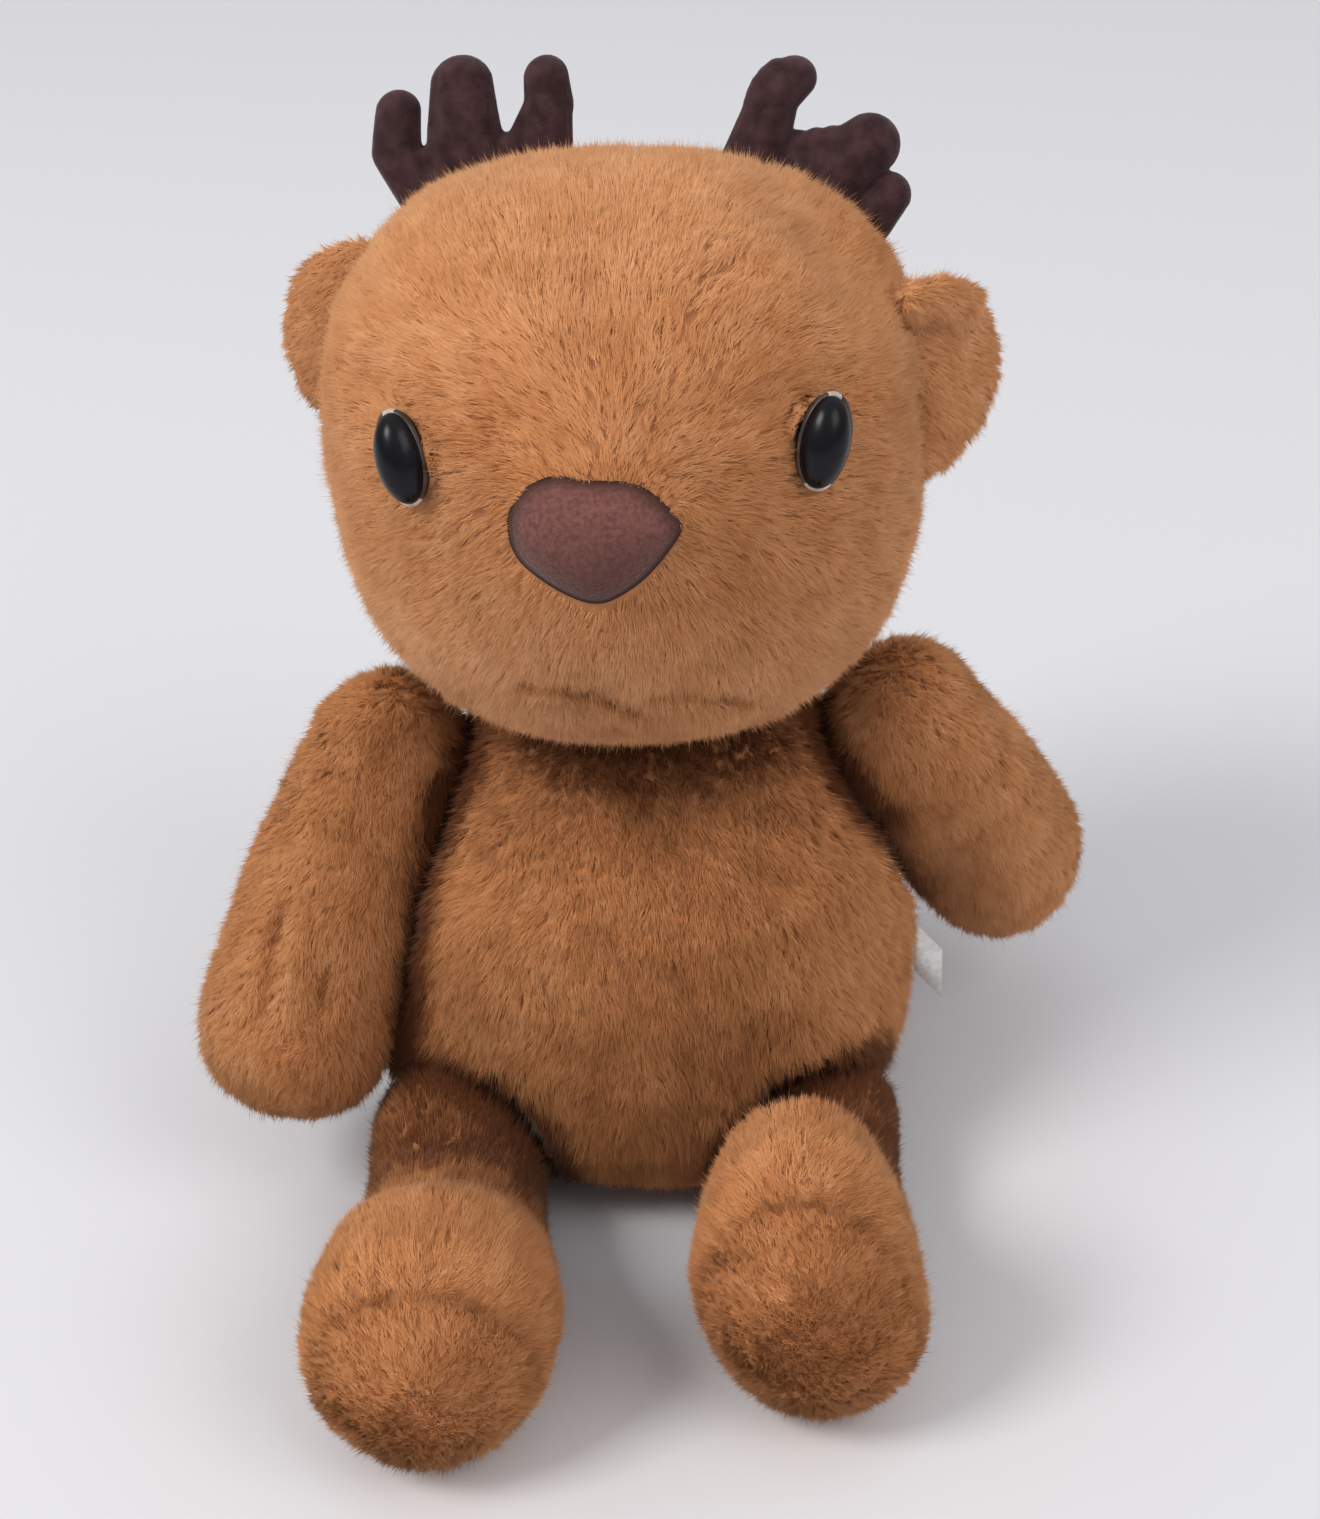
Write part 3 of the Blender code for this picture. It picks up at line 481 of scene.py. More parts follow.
# Backing cloth, darker than the pile: painted shade deep between the strands
BACKING = mottled("backing_cloth", (0.40, 0.16, 0.060), (0.52, 0.23, 0.090), 0.004, 0.9)
FIBRE = mottled("loose_fibre", (0.70, 0.69, 0.66), (0.86, 0.86, 0.84), 0.006, 0.9)
PILE = pile_materials()
SUEDE = mottled("antler_suede", (0.034, 0.014, 0.016), (0.070, 0.032, 0.034), 0.0030, 0.9,
                bump=0.3, bump_scale=0.0005, Sheen_Weight=0.25, Sheen_Roughness=0.4,
                Specular_IOR_Level=0.2)
# Nose suede, darkened by the mesh's 'dark' attribute as painted shade
NOSE_SUEDE = darkened(mottled("nose_suede", (0.130, 0.044, 0.036), (0.215, 0.082, 0.066), 0.0008,
                              0.8, bump=0.6, bump_scale=0.0005, Sheen_Weight=0.35,
                              Sheen_Roughness=0.4, Specular_IOR_Level=0.3),
                      "dark", (0.040, 0.013, 0.009))
# Seam rows round the nose, dark as painted shade in the seam
SEAM = mottled("nose_seam_painted_shade", (0.020, 0.008, 0.006), (0.045, 0.016, 0.012), 0.001, 0.9)
GLOSS = mottled("eye_gloss", (0.002, 0.002, 0.003), (0.005, 0.005, 0.008), 0.004, 0.26,
                Specular_IOR_Level=0.22)
RIM = mottled("eye_rim", (0.030, 0.022, 0.016), (0.075, 0.060, 0.050), 0.002, 0.35)
RIM_END = mottled("eye_rim_end", (0.42, 0.38, 0.33), (0.66, 0.62, 0.56), 0.002, 0.3)
RIBBON = mottled("ribbon_weave", (0.70, 0.69, 0.67), (0.86, 0.86, 0.85), 0.0015, 0.55, bump=0.3,
                 bump_scale=0.0003)


# Meshes
def object_from_arrays(name, points, normals, faces, materials, tones):
    """A mesh object of triangles from arrays of points, their normals and corners."""
    mesh = bpy.data.meshes.new(name)
    mesh.vertices.add(len(points))
    mesh.vertices.foreach_set("co", np.asarray(points, np.float32).ravel())
    mesh.loops.add(len(faces) * 3)
    mesh.loops.foreach_set("vertex_index", np.asarray(faces, np.int32).ravel())
    mesh.polygons.add(len(faces))
    mesh.polygons.foreach_set("loop_start", np.arange(0, len(faces) * 3, 3, dtype=np.int32))
    for material in materials:
        mesh.materials.append(material)
    mesh.polygons.foreach_set("material_index", np.asarray(tones, np.int32))
    mesh.polygons.foreach_set("use_smooth", np.ones(len(faces), bool))
    mesh.update(calc_edges=True)
    shading = mesh.attributes.new("custom_normal", "FLOAT_VECTOR", "POINT")
    shading.data.foreach_set("vector", np.asarray(normals, np.float32).ravel())
    obj = bpy.data.objects.new(name, mesh)
    bpy.context.scene.collection.objects.link(obj)
    return obj


def object_from(mesh, name, *materials):
    data = bpy.data.meshes.new(name)
    mesh.to_mesh(data)
    mesh.free()
    data.shade_smooth()
    for material in materials:
        data.materials.append(material)
    obj = bpy.data.objects.new(name, data)
    bpy.context.scene.collection.objects.link(obj)
    return obj


def applied(obj):
    """The object with its modifiers applied to its mesh."""
    graph = bpy.context.evaluated_depsgraph_get()
    mesh = bpy.data.meshes.new_from_object(obj.evaluated_get(graph))
    obj.modifiers.clear()
    obj.data = mesh
    return obj


def rounded(obj, levels):
    smooth = obj.modifiers.new("round", "SUBSURF")
    smooth.levels = smooth.render_levels = levels
    return applied(obj)


def welded(node):
    mesh = bmesh.new()
    mesh.from_mesh(NODES[node].data)
    bmesh.ops.remove_doubles(mesh, verts=mesh.verts, dist=WELD)
    return mesh


def joined(mesh):
    bmesh.ops.join_triangles(mesh, faces=mesh.faces, angle_face_threshold=FLAT_ANGLE,
                             angle_shape_threshold=SHAPE_ANGLE)
    return mesh


def tree_of(node):
    mesh = welded(node)
    tree = BVHTree.FromBMesh(mesh)
    mesh.free()
    return tree


def evened(obj, voxel, rounds):
    """The object as one closed form on an even grid, smoothed."""
    even = obj.modifiers.new("even", "REMESH")
    even.mode = "VOXEL"
    even.voxel_size = voxel
    even.use_smooth_shade = True
    soften = obj.modifiers.new("soften", "SMOOTH")
    soften.factor = SOFTEN
    soften.iterations = rounds
    return applied(obj)


def arrays_of(mesh):
    points = np.empty(len(mesh.vertices) * 3, np.float32)
    normals = np.empty(len(mesh.vertices) * 3, np.float32)
    mesh.vertices.foreach_get("co", points)
    mesh.vertices.foreach_get("normal", normals)
    return points.reshape(-1, 3).astype(float), normals.reshape(-1, 3).astype(float)


def reshape(obj, points):
    """Gives the vertices of a form new places."""
    obj.data.vertices.foreach_set("co", points.astype(np.float32).ravel())
    obj.data.update()


def pushed(obj, distance):
    """Moves a surface out along its normals."""
    points, normals = arrays_of(obj.data)
    reshape(obj, points + normals * distance)


def nudged(obj, nudges):
    """Shifts a surface round some places, less and less away from them."""
    points, _ = arrays_of(obj.data)
    moved = points.copy()
    for place, reach, shift in nudges:
        away = np.linalg.norm(points - np.array(place), axis=1)
        moved += np.exp(-(away / reach) ** 2)[:, None] * np.array(shift)
    reshape(obj, moved)


def filled(name, skins, fillings):
    """One closed, rounded form of the CAD skins and what fills them."""
    whole = bmesh.new()
    for node in skins:
        whole.from_mesh(NODES[node].data)
    for node in fillings:
        part = welded(node)
        part.normal_update()
        for vertex in part.verts:
            vertex.co += vertex.normal * FILL_OUT
        swollen = bpy.data.meshes.new(node + "_swollen")
        part.to_mesh(swollen)
        part.free()
        whole.from_mesh(swollen)
        bpy.data.meshes.remove(swollen)
    return evened(object_from(whole, name, BACKING), SKIN_VOXEL, SKIN_ROUNDS)


def nearer(obj, node, other):
    """For each face of a form, whether it is nearer to one CAD node than to another."""
    first, second = tree_of(node), tree_of(other)
    return [first.find_nearest(face.center)[3] < second.find_nearest(face.center)[3]
            for face in obj.data.polygons]


def part_of(obj, chosen, name):
    """A copy of the chosen faces of a form."""
    mesh = bmesh.new()
    mesh.from_mesh(obj.data)
    gone = [face for face, kept in zip(mesh.faces, chosen) if not kept]
    bmesh.ops.delete(mesh, geom=gone, context="FACES")
    return object_from(mesh, name, BACKING)


def sunk_copy(node, name, material, host, middle, sink, voxel, rounds, webs=()):
    """A rounded copy of a CAD node, run on into the form that it is sewn on."""
    mesh = welded(node)
    tree = tree_of(host)
    for vertex in mesh.verts:
        if tree.find_nearest(vertex.co)[3] < NEAR:
            vertex.co += (middle - vertex.co).normalized() * sink
    for x, y, z, radius in webs:
        bmesh.ops.create_uvsphere(mesh, u_segments=WEB_SEGMENTS, v_segments=WEB_RINGS,
                                  radius=radius, matrix=Matrix.Translation((x, y, z)))
    return evened(object_from(mesh, name, material), voxel, rounds)


def inset(obj, depth, swell=0.0, creases=()):
    """Moves a surface in by a depth, unevenly, and deeper along creases of its front."""
    points, normals = arrays_of(obj.data)
    uneven = LUMPS.at(points, SWELL_SCALE) * swell
    if creases:
        near = distance_to(points[:, (0, 2)], creases)
        pressed = CREASE_DEPTH * np.exp(-(near / (2 * CREASE_WIDTH)) ** 2) * (normals[:, 1] < 0)
        uneven = uneven - pressed[:, None]
    reshape(obj, points - normals * (depth - uneven))


def rim_of(obj):
    """The places along the open edge of a surface."""
    mesh = bmesh.new()
    mesh.from_mesh(obj.data)
    rim = np.array([vertex.co for vertex in mesh.verts if vertex.is_boundary])
    mesh.free()
    return rim


class Surface:
    """A triangulated surface as arrays, for growing a pile on."""

    def __init__(self, obj):
        mesh = obj.data
        mesh.calc_loop_triangles()
        self.points, self.normals = arrays_of(mesh)
        self.triangles = np.empty(len(mesh.loop_triangles) * 3, np.int32)
        mesh.loop_triangles.foreach_get("vertices", self.triangles)
        self.triangles = self.triangles.reshape(-1, 3)
        a, b, c = (self.points[self.triangles[:, i]] for i in range(3))
        self.areas = np.linalg.norm(np.cross(b - a, c - a), axis=1) / 2

    def scatter(self, rng, count):
        """Random places on the surface and the normals there."""
        chosen = rng.choice(len(self.areas), count, p=self.areas / self.areas.sum())
        u, v = rng.random((2, count))
        over = u + v > 1
        u, v = np.where(over, 1 - u, u)[:, None], np.where(over, 1 - v, v)[:, None]
        a, b, c = (self.triangles[chosen, i] for i in range(3))
        points = self.points[a] * (1 - u - v) + self.points[b] * u + self.points[c] * v
        normals = self.normals[a] * (1 - u - v) + self.normals[b] * u + self.normals[c] * v
        return points, unit(normals)


class Pile:
    """A pile beyond its surface: its nap, tones and lengths, its bare and pressed places, its
    painted light and shade.
    """

    def __init__(self, nap, tone, length=STRAND_LENGTH, bare=None, shade=None, trim=None,
                 creases=(), crease_share=1.0, rim=None, beside=()):
        self.nap = nap
        self.tone = tone
        self.length = length
        self.bare = bare
        self.shade = shade
        self.trim = trim
        self.creases = creases
        self.crease_share = crease_share
        self.rim = rim
        self.beside = [tree_of(node) for node in beside]

    def near_crease(self, points, normals):
        """1 on a crease or seam, falling to 0 beside it."""
        near = np.zeros(len(points))
        if len(self.creases):
            away = distance_to(points[:, (0, 2)], self.creases)
            near = self.crease_share * np.exp(-(away / CREASE_WIDTH) ** 2) * (normals[:, 1] < 0)
        if self.rim is not None:
            away = np.min(np.linalg.norm(points[:, None] - self.rim[None], axis=2), axis=1)
            near = np.maximum(near, SEAM_SHARE * np.exp(-(away / CREASE_WIDTH) ** 2))
        return near


def clumps_on(surface, pile, share, rng):
    """Random clumps on a surface: places, normals, naps, lengths, lifts and tones."""
    count = int(surface.areas.sum() * 1e6 * CLUMPS_PER_MM2 * share)
    middle, normal = surface.scatter(rng, count)
    if pile.bare is not None:
        kept = ~pile.bare(middle)
        middle, normal = middle[kept], normal[kept]
        count = len(middle)
    nap = unit(pile.nap(middle, normal))
    for scale, offset, weight in NAP_SWIRLS:
        nap = nap + SWIRLS.at(middle + offset, scale) * weight
    nap = nap + rng.normal(0, CLUMP_TURN, (count, 3))
    nap = unit(nap - normal * (nap * normal).sum(1, keepdims=True))
    size = pile.length * (CLUMP_LENGTH + CLUMP_LENGTH_SPREAD * rng.random(count)
                          + CLUMP_LENGTH_WAVE * LUMPS.at(middle, CLUMP_WAVE_SCALE)[:, 0])
    tone = pile.tone
    for scale, channel, weight in TONE_PATCHES:
        tone = tone + weight * PATCHES.at(middle, scale)[:, channel]
    if pile.trim is not None:
        size = size * pile.trim(middle)
    # Painted light and shade of each part
    if pile.shade is not None:
        tone = tone + pile.shade(middle)
    # Painted shade where pieces meet: the pile there is longer and darkened
    if pile.beside:
        pressed = closeness(middle, pile.beside)
        size = size * (1 + CONTACT_LONGER * pressed)
        tone = tone - CONTACT_PAINTED_SHADE * pressed
    tone = tone + rng.normal(0, TONE_SPREAD, count)
    # Painted shade in creases and seams: shorter, darker pile
    creased = pile.near_crease(middle, normal)
    size = size * (1 - CREASE_SHORTER * creased)
    tone = tone - CREASE_PAINTED_SHADE * creased
    rise = STRAND_LIFT + CLUMP_LIFT_SPREAD * rng.normal(size=count)
    return middle, normal, nap, size, rise, tone


def strands_of(clumps, share, rng):
    """The corners, normals and tones of the tapered strands of some clumps."""
    middle, normal, nap, size, rise, tone = clumps
    total = len(middle) * CLUMP_STRANDS

    def spread(values):
        return np.repeat(values, CLUMP_STRANDS, axis=0)

    upright = spread(normal)
    side = unit(np.cross(upright, spread(nap)))
    turn = rng.uniform(0, 2 * math.pi, total)
    far = CLUMP_RADIUS / math.sqrt(share) * np.sqrt(rng.random(total))
    root = spread(middle) + side * (np.cos(turn) * far)[:, None]
    root += spread(nap) * (np.sin(turn) * far)[:, None]
    own = unit(spread(nap) + rng.normal(0, STRAND_TURN, (total, 3)))
    stray = rng.random(total) < STRAY_SHARE
    length = spread(size) * rng.uniform(*STRAND_LENGTHS, total)
    length = length * np.where(stray, STRAY_LENGTH, 1.0)
    lift = spread(rise) + rng.normal(0, STRAND_LIFT_SPREAD, total)
    lift = lift + np.where(stray, STRAY_LIFT, 0.0)
    tip = root + (upright * lift[:, None] + own * STRAND_LAY) * length[:, None]
    peak = middle + (normal * rise[:, None] + nap * STRAND_LAY) * size[:, None]
    pull = CLUMP_PULL * rng.uniform(*STRAND_PULLS, total) * np.where(stray, STRAY_PULL, 1.0)
    tip = tip + (spread(peak) - tip) * pull[:, None]
    along = unit(tip - root)
    across = unit(np.cross(along, upright))
    behind = np.cross(along, across)
    half = STRAND_HALF_WIDTH / math.sqrt(share) * rng.uniform(*STRAND_WIDTHS, total)
    half = half * np.where(stray, STRAY_WIDTH, 1.0)
    points, normals = [], []
    for corner in range(3):
        angle = 2 * math.pi * corner / 3
        round_way = across * math.cos(angle) + behind * math.sin(angle)
        points.append(root + round_way * half[:, None])
        normals.append(unit(upright + round_way * ROUNDNESS))
    points = np.stack(points + [tip], axis=1)
    points[..., 2] = np.maximum(points[..., 2], FLOOR_CLEAR)
    normals = np.stack(normals + [unit(upright + along * ROUNDNESS)], axis=1)
    tones = np.round((spread(tone) + rng.normal(0, TONE_SPREAD, total)) * (TONES - 1))
    return points, normals, np.clip(tones, 0, TONES - 1).astype(int)


def grow(name, body, obj, pile, seed):
    """Grows a pile of clumped strands on a surface, in pieces that ride on a body."""
    rng = np.random.default_rng(seed)
    share = 1.0
    clumps = clumps_on(Surface(obj), pile, share, rng)
    points, normals, tones = strands_of(clumps, share, rng)
    for number, start in enumerate(range(0, len(points), PIECE_STRANDS)):
        some = slice(start, start + PIECE_STRANDS)
        faces = STRAND_FACES[None] + 4 * np.arange(len(points[some]))[:, None, None]
        piece = object_from_arrays("%s_pile_%d" % (name, number), points[some].reshape(-1, 3),
                                   normals[some].reshape(-1, 3), faces.reshape(-1, 3), PILE,
                                   np.repeat(tones[some], 3))
        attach(piece, body)


def box_middle(node):
    low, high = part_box(node)
    return (low + high) / 2


def stuffed(obj, body, slot, fill, *nodes):
    """Hides the CAD nodes that a stuffed piece stands for, and lets it ride on a body."""
    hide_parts(*nodes)
    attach(obj, body)
    return obj


def wad(node, body, fill, *more, nudges=()):
    """The loose filling under a skin, as a rounded form."""
    obj = rounded(object_from(joined(welded(node)), node + "_wad", FIBRE), 1)
    nudged(obj, nudges)
    inset(obj, WAD_DEPTH)
    return stuffed(obj, body, "fibre", fill, node, *more)


def plush(name, body, node, fillings, pile, seed, swell=SKIN_SWELL, fill=0.75,
          depth=LIMB_DEPTH, nudges=()):
    """A plush skin: backing cloth with its pile on it."""
    base = filled(name + "_backing", (node,), fillings)
    nudged(base, nudges)
    inset(base, depth, swell, creases=pile.creases)
    stuffed(base, body, "fur", fill, node)
    grow(name, body, base, pile, seed)
    return base


def steady(way):
    """A nap that lies one way all over."""

    def nap(points, normals):
        return np.tile(way, (len(points), 1))

    return nap


def way_from(joint, node):
    """The way from a joint to the middle of a node."""
    return np.array((box_middle(node) - JOINTS[joint]).normalized())


def plane_of(node):
    """Middle, long way, short way, outward way and half sizes of a flat CAD node."""
    points = np.array([vertex.co for vertex in NODES[node].data.vertices])
    low, high = points.min(0), points.max(0)
    middle = (low + high) / 2
    long_way, _, out = np.linalg.svd(points - points.mean(0), full_matrices=False)[2]
    if long_way[2] < 0:
        long_way = -long_way
    if out[1] > 0:
        out = -out
    short_way = np.cross(long_way, out)
    reach = [np.abs((points - middle) @ way).max() for way in (long_way, short_way)]
    return middle, long_way, short_way, out, reach


# Head, with its eyes' and nose's places
EYES = {side: plane_of("eye_backing_" + side) for side in ("left", "right")}
HEAD_MIDDLE = box_middle("head_skin")
HEAD_ARRAY = np.array(HEAD_MIDDLE)
NOSE_ARRAY = np.array((NOSE_CENTRE[0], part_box("head_skin")[0].y, NOSE_CENTRE[1]))


def closed_curve(anchors, steps):
    """Points of a smooth closed curve through the anchors."""
    anchors = np.array(anchors)
    curve = []
    for i in range(len(anchors)):
        before, start, end, after = (anchors[(i + k) % len(anchors)] for k in (-1, 0, 1, 2))
        for step in range(steps):
            t = step / steps
            curve.append(0.5 * (2 * start + (end - before) * t
                                + (2 * before - 5 * start + 4 * end - after) * t * t
                                + (3 * start - before - 3 * end + after) * t ** 3))
    return np.array(curve)


def nose_spots(tree, places):
    """Where places on the nose, as shares of its half sizes, are seen on a surface."""
    right, up, back = view_axes()
    eye = LOOK_AT + back * DISTANCE
    middle = tree.ray_cast(Vector((NOSE_CENTRE[0], -1.0, NOSE_CENTRE[1])), Vector((0, 1, 0)))[0]
    return [tree.ray_cast(eye, middle + right * (x * NOSE_HALF_WIDTH)
                          + up * (y * NOSE_HALF_HEIGHT) - eye)[0] for x, y in places]


NOSE_OUTLINE = closed_curve(NOSE_ANCHORS, NOSE_STEPS)
NOSE_EDGE = np.array(nose_spots(tree_of("head_skin"), NOSE_OUTLINE))
NOSE_MIDDLE = np.array(nose_spots(tree_of("head_skin"), [(0.0, 0.0)])[0])


def eye_place(points, side):
    """Places across and along an eye, as shares of its half sizes."""
    middle, long_way, short_way, _, reach = EYES[side]
    away = points - middle
    return (away @ short_way) / reach[1], (away @ long_way) / reach[0]


def eye_distance(points, side):
    """How far places are from the middle of an eye, as shares of its half sizes."""
    return np.where(points[:, 1] < HEAD_ARRAY[1], np.hypot(*eye_place(points, side)), FAR)


def nose_distance(points):
    """How far places are from the middle of the nose, as shares of its outline's reach."""
    right, up, _ = view_axes()
    away = points - NOSE_MIDDLE
    x = away @ np.array(right) / NOSE_HALF_WIDTH
    y = away @ np.array(up) / NOSE_HALF_HEIGHT
    turns = np.arctan2(NOSE_OUTLINE[:, 1], NOSE_OUTLINE[:, 0])
    order = np.argsort(turns)
    reach = np.interp(np.arctan2(y, x), turns[order], np.linalg.norm(NOSE_OUTLINE, axis=1)[order],
                      period=2 * math.pi)
    return np.where(points[:, 1] < HEAD_ARRAY[1], np.hypot(x, y) / reach, FAR)


def inner_side(points, side):
    """1 on the side of an eye towards the nose, 0 on the other."""
    toward = -1 if side == "left" else 1
    return eased((points[:, 0] - EYES[side][0][0]) * toward / INNER_BAND + 0.5)


def head_bare(points):
    """Whether places lie under the nose or an eye, where no pile grows."""
    bare = nose_distance(points) < NOSE_BARE
    for side in EYES:
        bare |= eye_distance(points, side) < 1.0 - EYE_BARE_LESS * inner_side(points, side)
    return bare


def head_nap(points, normals):
    """Away from the nose and a little down, more so at the back, and turned round the eyes."""
    away = unit(points - NOSE_ARRAY)
    behind = eased((points[:, 1] - HEAD_ARRAY[1]) / BACK_FADE)
    nap = away + HEAD_NAP + behind[:, None] * BACK_NAP
    for side in EYES:
        near = np.exp(-(eye_distance(points, side) - EYE_NAP_AT) ** 2 / EYE_NAP_FADE)
        outward = EYE_NAP_OUT - EYE_NAP_IN * inner_side(points, side)
        nap += unit(points - EYES[side][0]) * (outward * near)[:, None]
    return nap


def head_shade(points):
    """Painted light on the crown, picture-left cheek and paler low face; painted shade by the
    nose.
    """
    height = (points[:, 2] - HEAD_MIDDLE.z) / HEAD_HALF
    shade = CROWN_PAINTED_LIGHT * eased(height - CROWN_FROM) + LOW_LIGHTER * eased(-height * 2)
    cheek = eased((-points[:, 0] - CHEEK_FROM) / CHEEK_FADE)
    shade += CHEEK_PAINTED_LIGHT * cheek * (height < CROWN_FROM)
    edge = np.min(np.linalg.norm(points[:, None] - NOSE_EDGE[None], axis=2), axis=1)
    return shade - NOSE_EDGE_PAINTED_SHADE * np.exp(-(edge / NOSE_EDGE_REACH) ** 2)


def head_trim(points):
    """Shorter pile beside the eyes and the nose."""
    near = np.minimum(eye_distance(points, "left"), eye_distance(points, "right"))
    near = np.minimum(near - EYE_TRIM_LESS, nose_distance(points))
    return TRIM_SHORTEST + TRIM_RISE * eased((near - TRIM_FROM) / TRIM_FADE)


head_base = plush("head", "head", "head_skin", ("head_stuffing", "neck_stuffing"),
                  Pile(head_nap, HEAD_TONE, bare=head_bare, shade=head_shade,
                       trim=head_trim, creases=MOUTH),
                  HEAD_SEED, swell=HEAD_SWELL, depth=HEAD_DEPTH, nudges=HEAD_NUDGES)
wad("head_stuffing", "head", 0.8, nudges=HEAD_NUDGES)


# Body, with the neck's filling and the tail
LIMB_SKINS = ("arm_left_skin", "arm_right_skin", "leg_left_skin", "leg_right_skin")
HEAD_TREE = tree_of("head_skin")


def neck_shade(points):
    """Painted shadow of the head: darker where the head comes close."""
    return -NECK_PAINTED_SHADOW * closeness(points, [HEAD_TREE], NECK_REACH)


plush("body", "torso", "body_skin", ("body_stuffing", "seat_pellet_bag", "neck_stuffing"),
      Pile(steady(BODY_NAP), BODY_TONE, beside=LIMB_SKINS, shade=neck_shade), BODY_SEED,
      fill=0.7, nudges=BODY_NUDGES)
wad("body_stuffing", "torso", 0.7, "seat_pellet_bag")
wad("neck_stuffing", "neck", 0.6)
tail = sunk_copy("tail", "tail_backing", BACKING, "body_skin", TAIL_ROOT, TAIL_SINK,
                 TAIL_VOXEL, TAIL_ROUNDS)
inset(tail, LIMB_DEPTH / 2)
stuffed(tail, "torso", "fur", 0.7, "tail")
grow("tail", "torso", tail, Pile(steady(BODY_NAP), TAIL_TONE), TAIL_SEED)


# Ears
def out_from_head(points):
    """How far out places on an ear are from the side of the head, as shares of its reach."""
    return np.maximum(0, np.abs(points[:, 0] - HEAD_ARRAY[0]) - EAR_ROOT) / EAR_REACH


def ear_shade(points):
    """Painted shade in the hollow in the middle of the ear's front."""
    hollow = np.exp(-((out_from_head(points) - EAR_HOLLOW_AT) / EAR_HOLLOW_REACH) ** 2)
    return -EAR_HOLLOW_PAINTED_SHADE * hollow * (points[:, 1] < HEAD_ARRAY[1] + EAR_FRONT)


def ear_nap(points, normals):
    """Down the ear and towards its edge."""
    return np.sign(points[:, :1]) * np.array((EAR_NAP_OUT, 0, 0)) + EAR_NAP


def make_ear(side, seed):
    """A plush ear whose root runs on over the side of the head."""
    ear = sunk_copy("ear_" + side, "ear_%s_backing" % side, BACKING, "head_skin", HEAD_MIDDLE,
                    EAR_SINK, EAR_VOXEL, EAR_ROUNDS, EAR_WEBS[side])
    points, _ = arrays_of(ear.data)
    reshape(ear, points + EAR_LEAN[side] * eased(1 - out_from_head(points))[:, None])
    nudged(ear, EAR_NUDGES[side])
    inset(ear, LIMB_DEPTH / 2)
    stuffed(ear, "head", "fur", 0.7, "ear_" + side)
    pile = Pile(ear_nap, EAR_TONE[side], length=EAR_STRAND, shade=ear_shade)
    grow("ear_" + side, "head", ear, pile, seed)


# Limbs
def round_sole(obj, chosen):
    """Rounds the seam round the sole and swells the sole a little."""
    faces = [face for face, flag in zip(obj.data.polygons, chosen) if flag]
    out = sum((face.normal * face.area for face in faces), Vector()).normalized()
    under = part_of(obj, chosen, "seam_form")
    seam = rim_of(under)
    bpy.data.objects.remove(under)
    points, _ = arrays_of(obj.data)
    away = np.min(np.linalg.norm(points[:, None] - seam[None], axis=2), axis=1)
    group = obj.vertex_groups.new(name="seam")
    for index in np.flatnonzero(away < 2 * SEAM_REACH):
        group.add([int(index)], math.exp(-(away[index] / SEAM_REACH) ** 2), "REPLACE")
    inside = sorted({index for face in faces for index in face.vertices})
    swell = np.zeros(len(points))
    swell[inside] = SOLE_DOME * eased(away[inside] / SOLE_DOME_REACH)
    reshape(obj, points + swell[:, None] * np.array(out))
    soften = obj.modifiers.new("soften", "SMOOTH")
    soften.vertex_group = group.name
    soften.factor = SOFTEN
    soften.iterations = SEAM_ROUNDS
    applied(obj)
    obj.vertex_groups.clear()


def make_leg(side, leg_seed, sole_seed):
    """A plush leg and its sole, parted along the seam on one form."""
    leg, sole, hip = "leg_" + side, "leg_%s_sole" % side, "leg_%s_swing" % side
    whole = filled(leg + "_form", (leg + "_skin", sole), (leg + "_stuffing",))
    chosen = nearer(whole, sole, leg + "_skin")
    round_sole(whole, chosen)
    nudged(whole, LEG_NUDGES[side])
    inset(whole, FOOT_DEPTH, LEG_SWELL)
    under = part_of(whole, chosen, sole + "_backing")
    upper = part_of(whole, [not flag for flag in chosen], leg + "_backing")
    bpy.data.objects.remove(whole)
    seam = rim_of(under)

    def hip_shade(points):
        # Painted shade on the leg, darker near the hip
        away = np.linalg.norm(points - np.array(JOINTS[hip]), axis=1)
        return -HIP_PAINTED_SHADE * eased(HIP_DARK_FROM - away / HIP_REACH)

    stuffed(upper, leg, "fur", 0.8, leg + "_skin")
    pile = Pile(steady(LEG_NAP - way_from(hip, leg + "_skin")), LEG_TONE[side],
                length=FOOT_STRAND, shade=hip_shade, rim=seam, beside=("body_skin",))
    grow(leg, leg, upper, pile, leg_seed)
    stuffed(under, leg, "dark_fur", 0.8, sole)
    pile = Pile(steady(SOLE_NAP), SOLE_TONE[side], length=FOOT_STRAND, rim=seam)
    grow(sole, leg, under, pile, sole_seed)
    wad(leg + "_stuffing", leg, 0.8, nudges=LEG_NUDGES[side])


def make_arm(side, seed):
    """A plush arm, with creases in the paw that shows them."""
    arm = "arm_" + side
    nap = steady(way_from("arm_%s_swing" % side, arm + "_skin") + ARM_NAP)
    pile = Pile(nap, ARM_TONE[side], beside=("body_skin",),
                creases=PAW_CREASES if side == "right" else (), crease_share=PAW_SHARE)
    plush(arm, arm, arm + "_skin", (arm + "_stuffing",), pile, seed, nudges=ARM_NUDGES[side])
    wad(arm + "_stuffing", arm, 0.75, nudges=ARM_NUDGES[side])


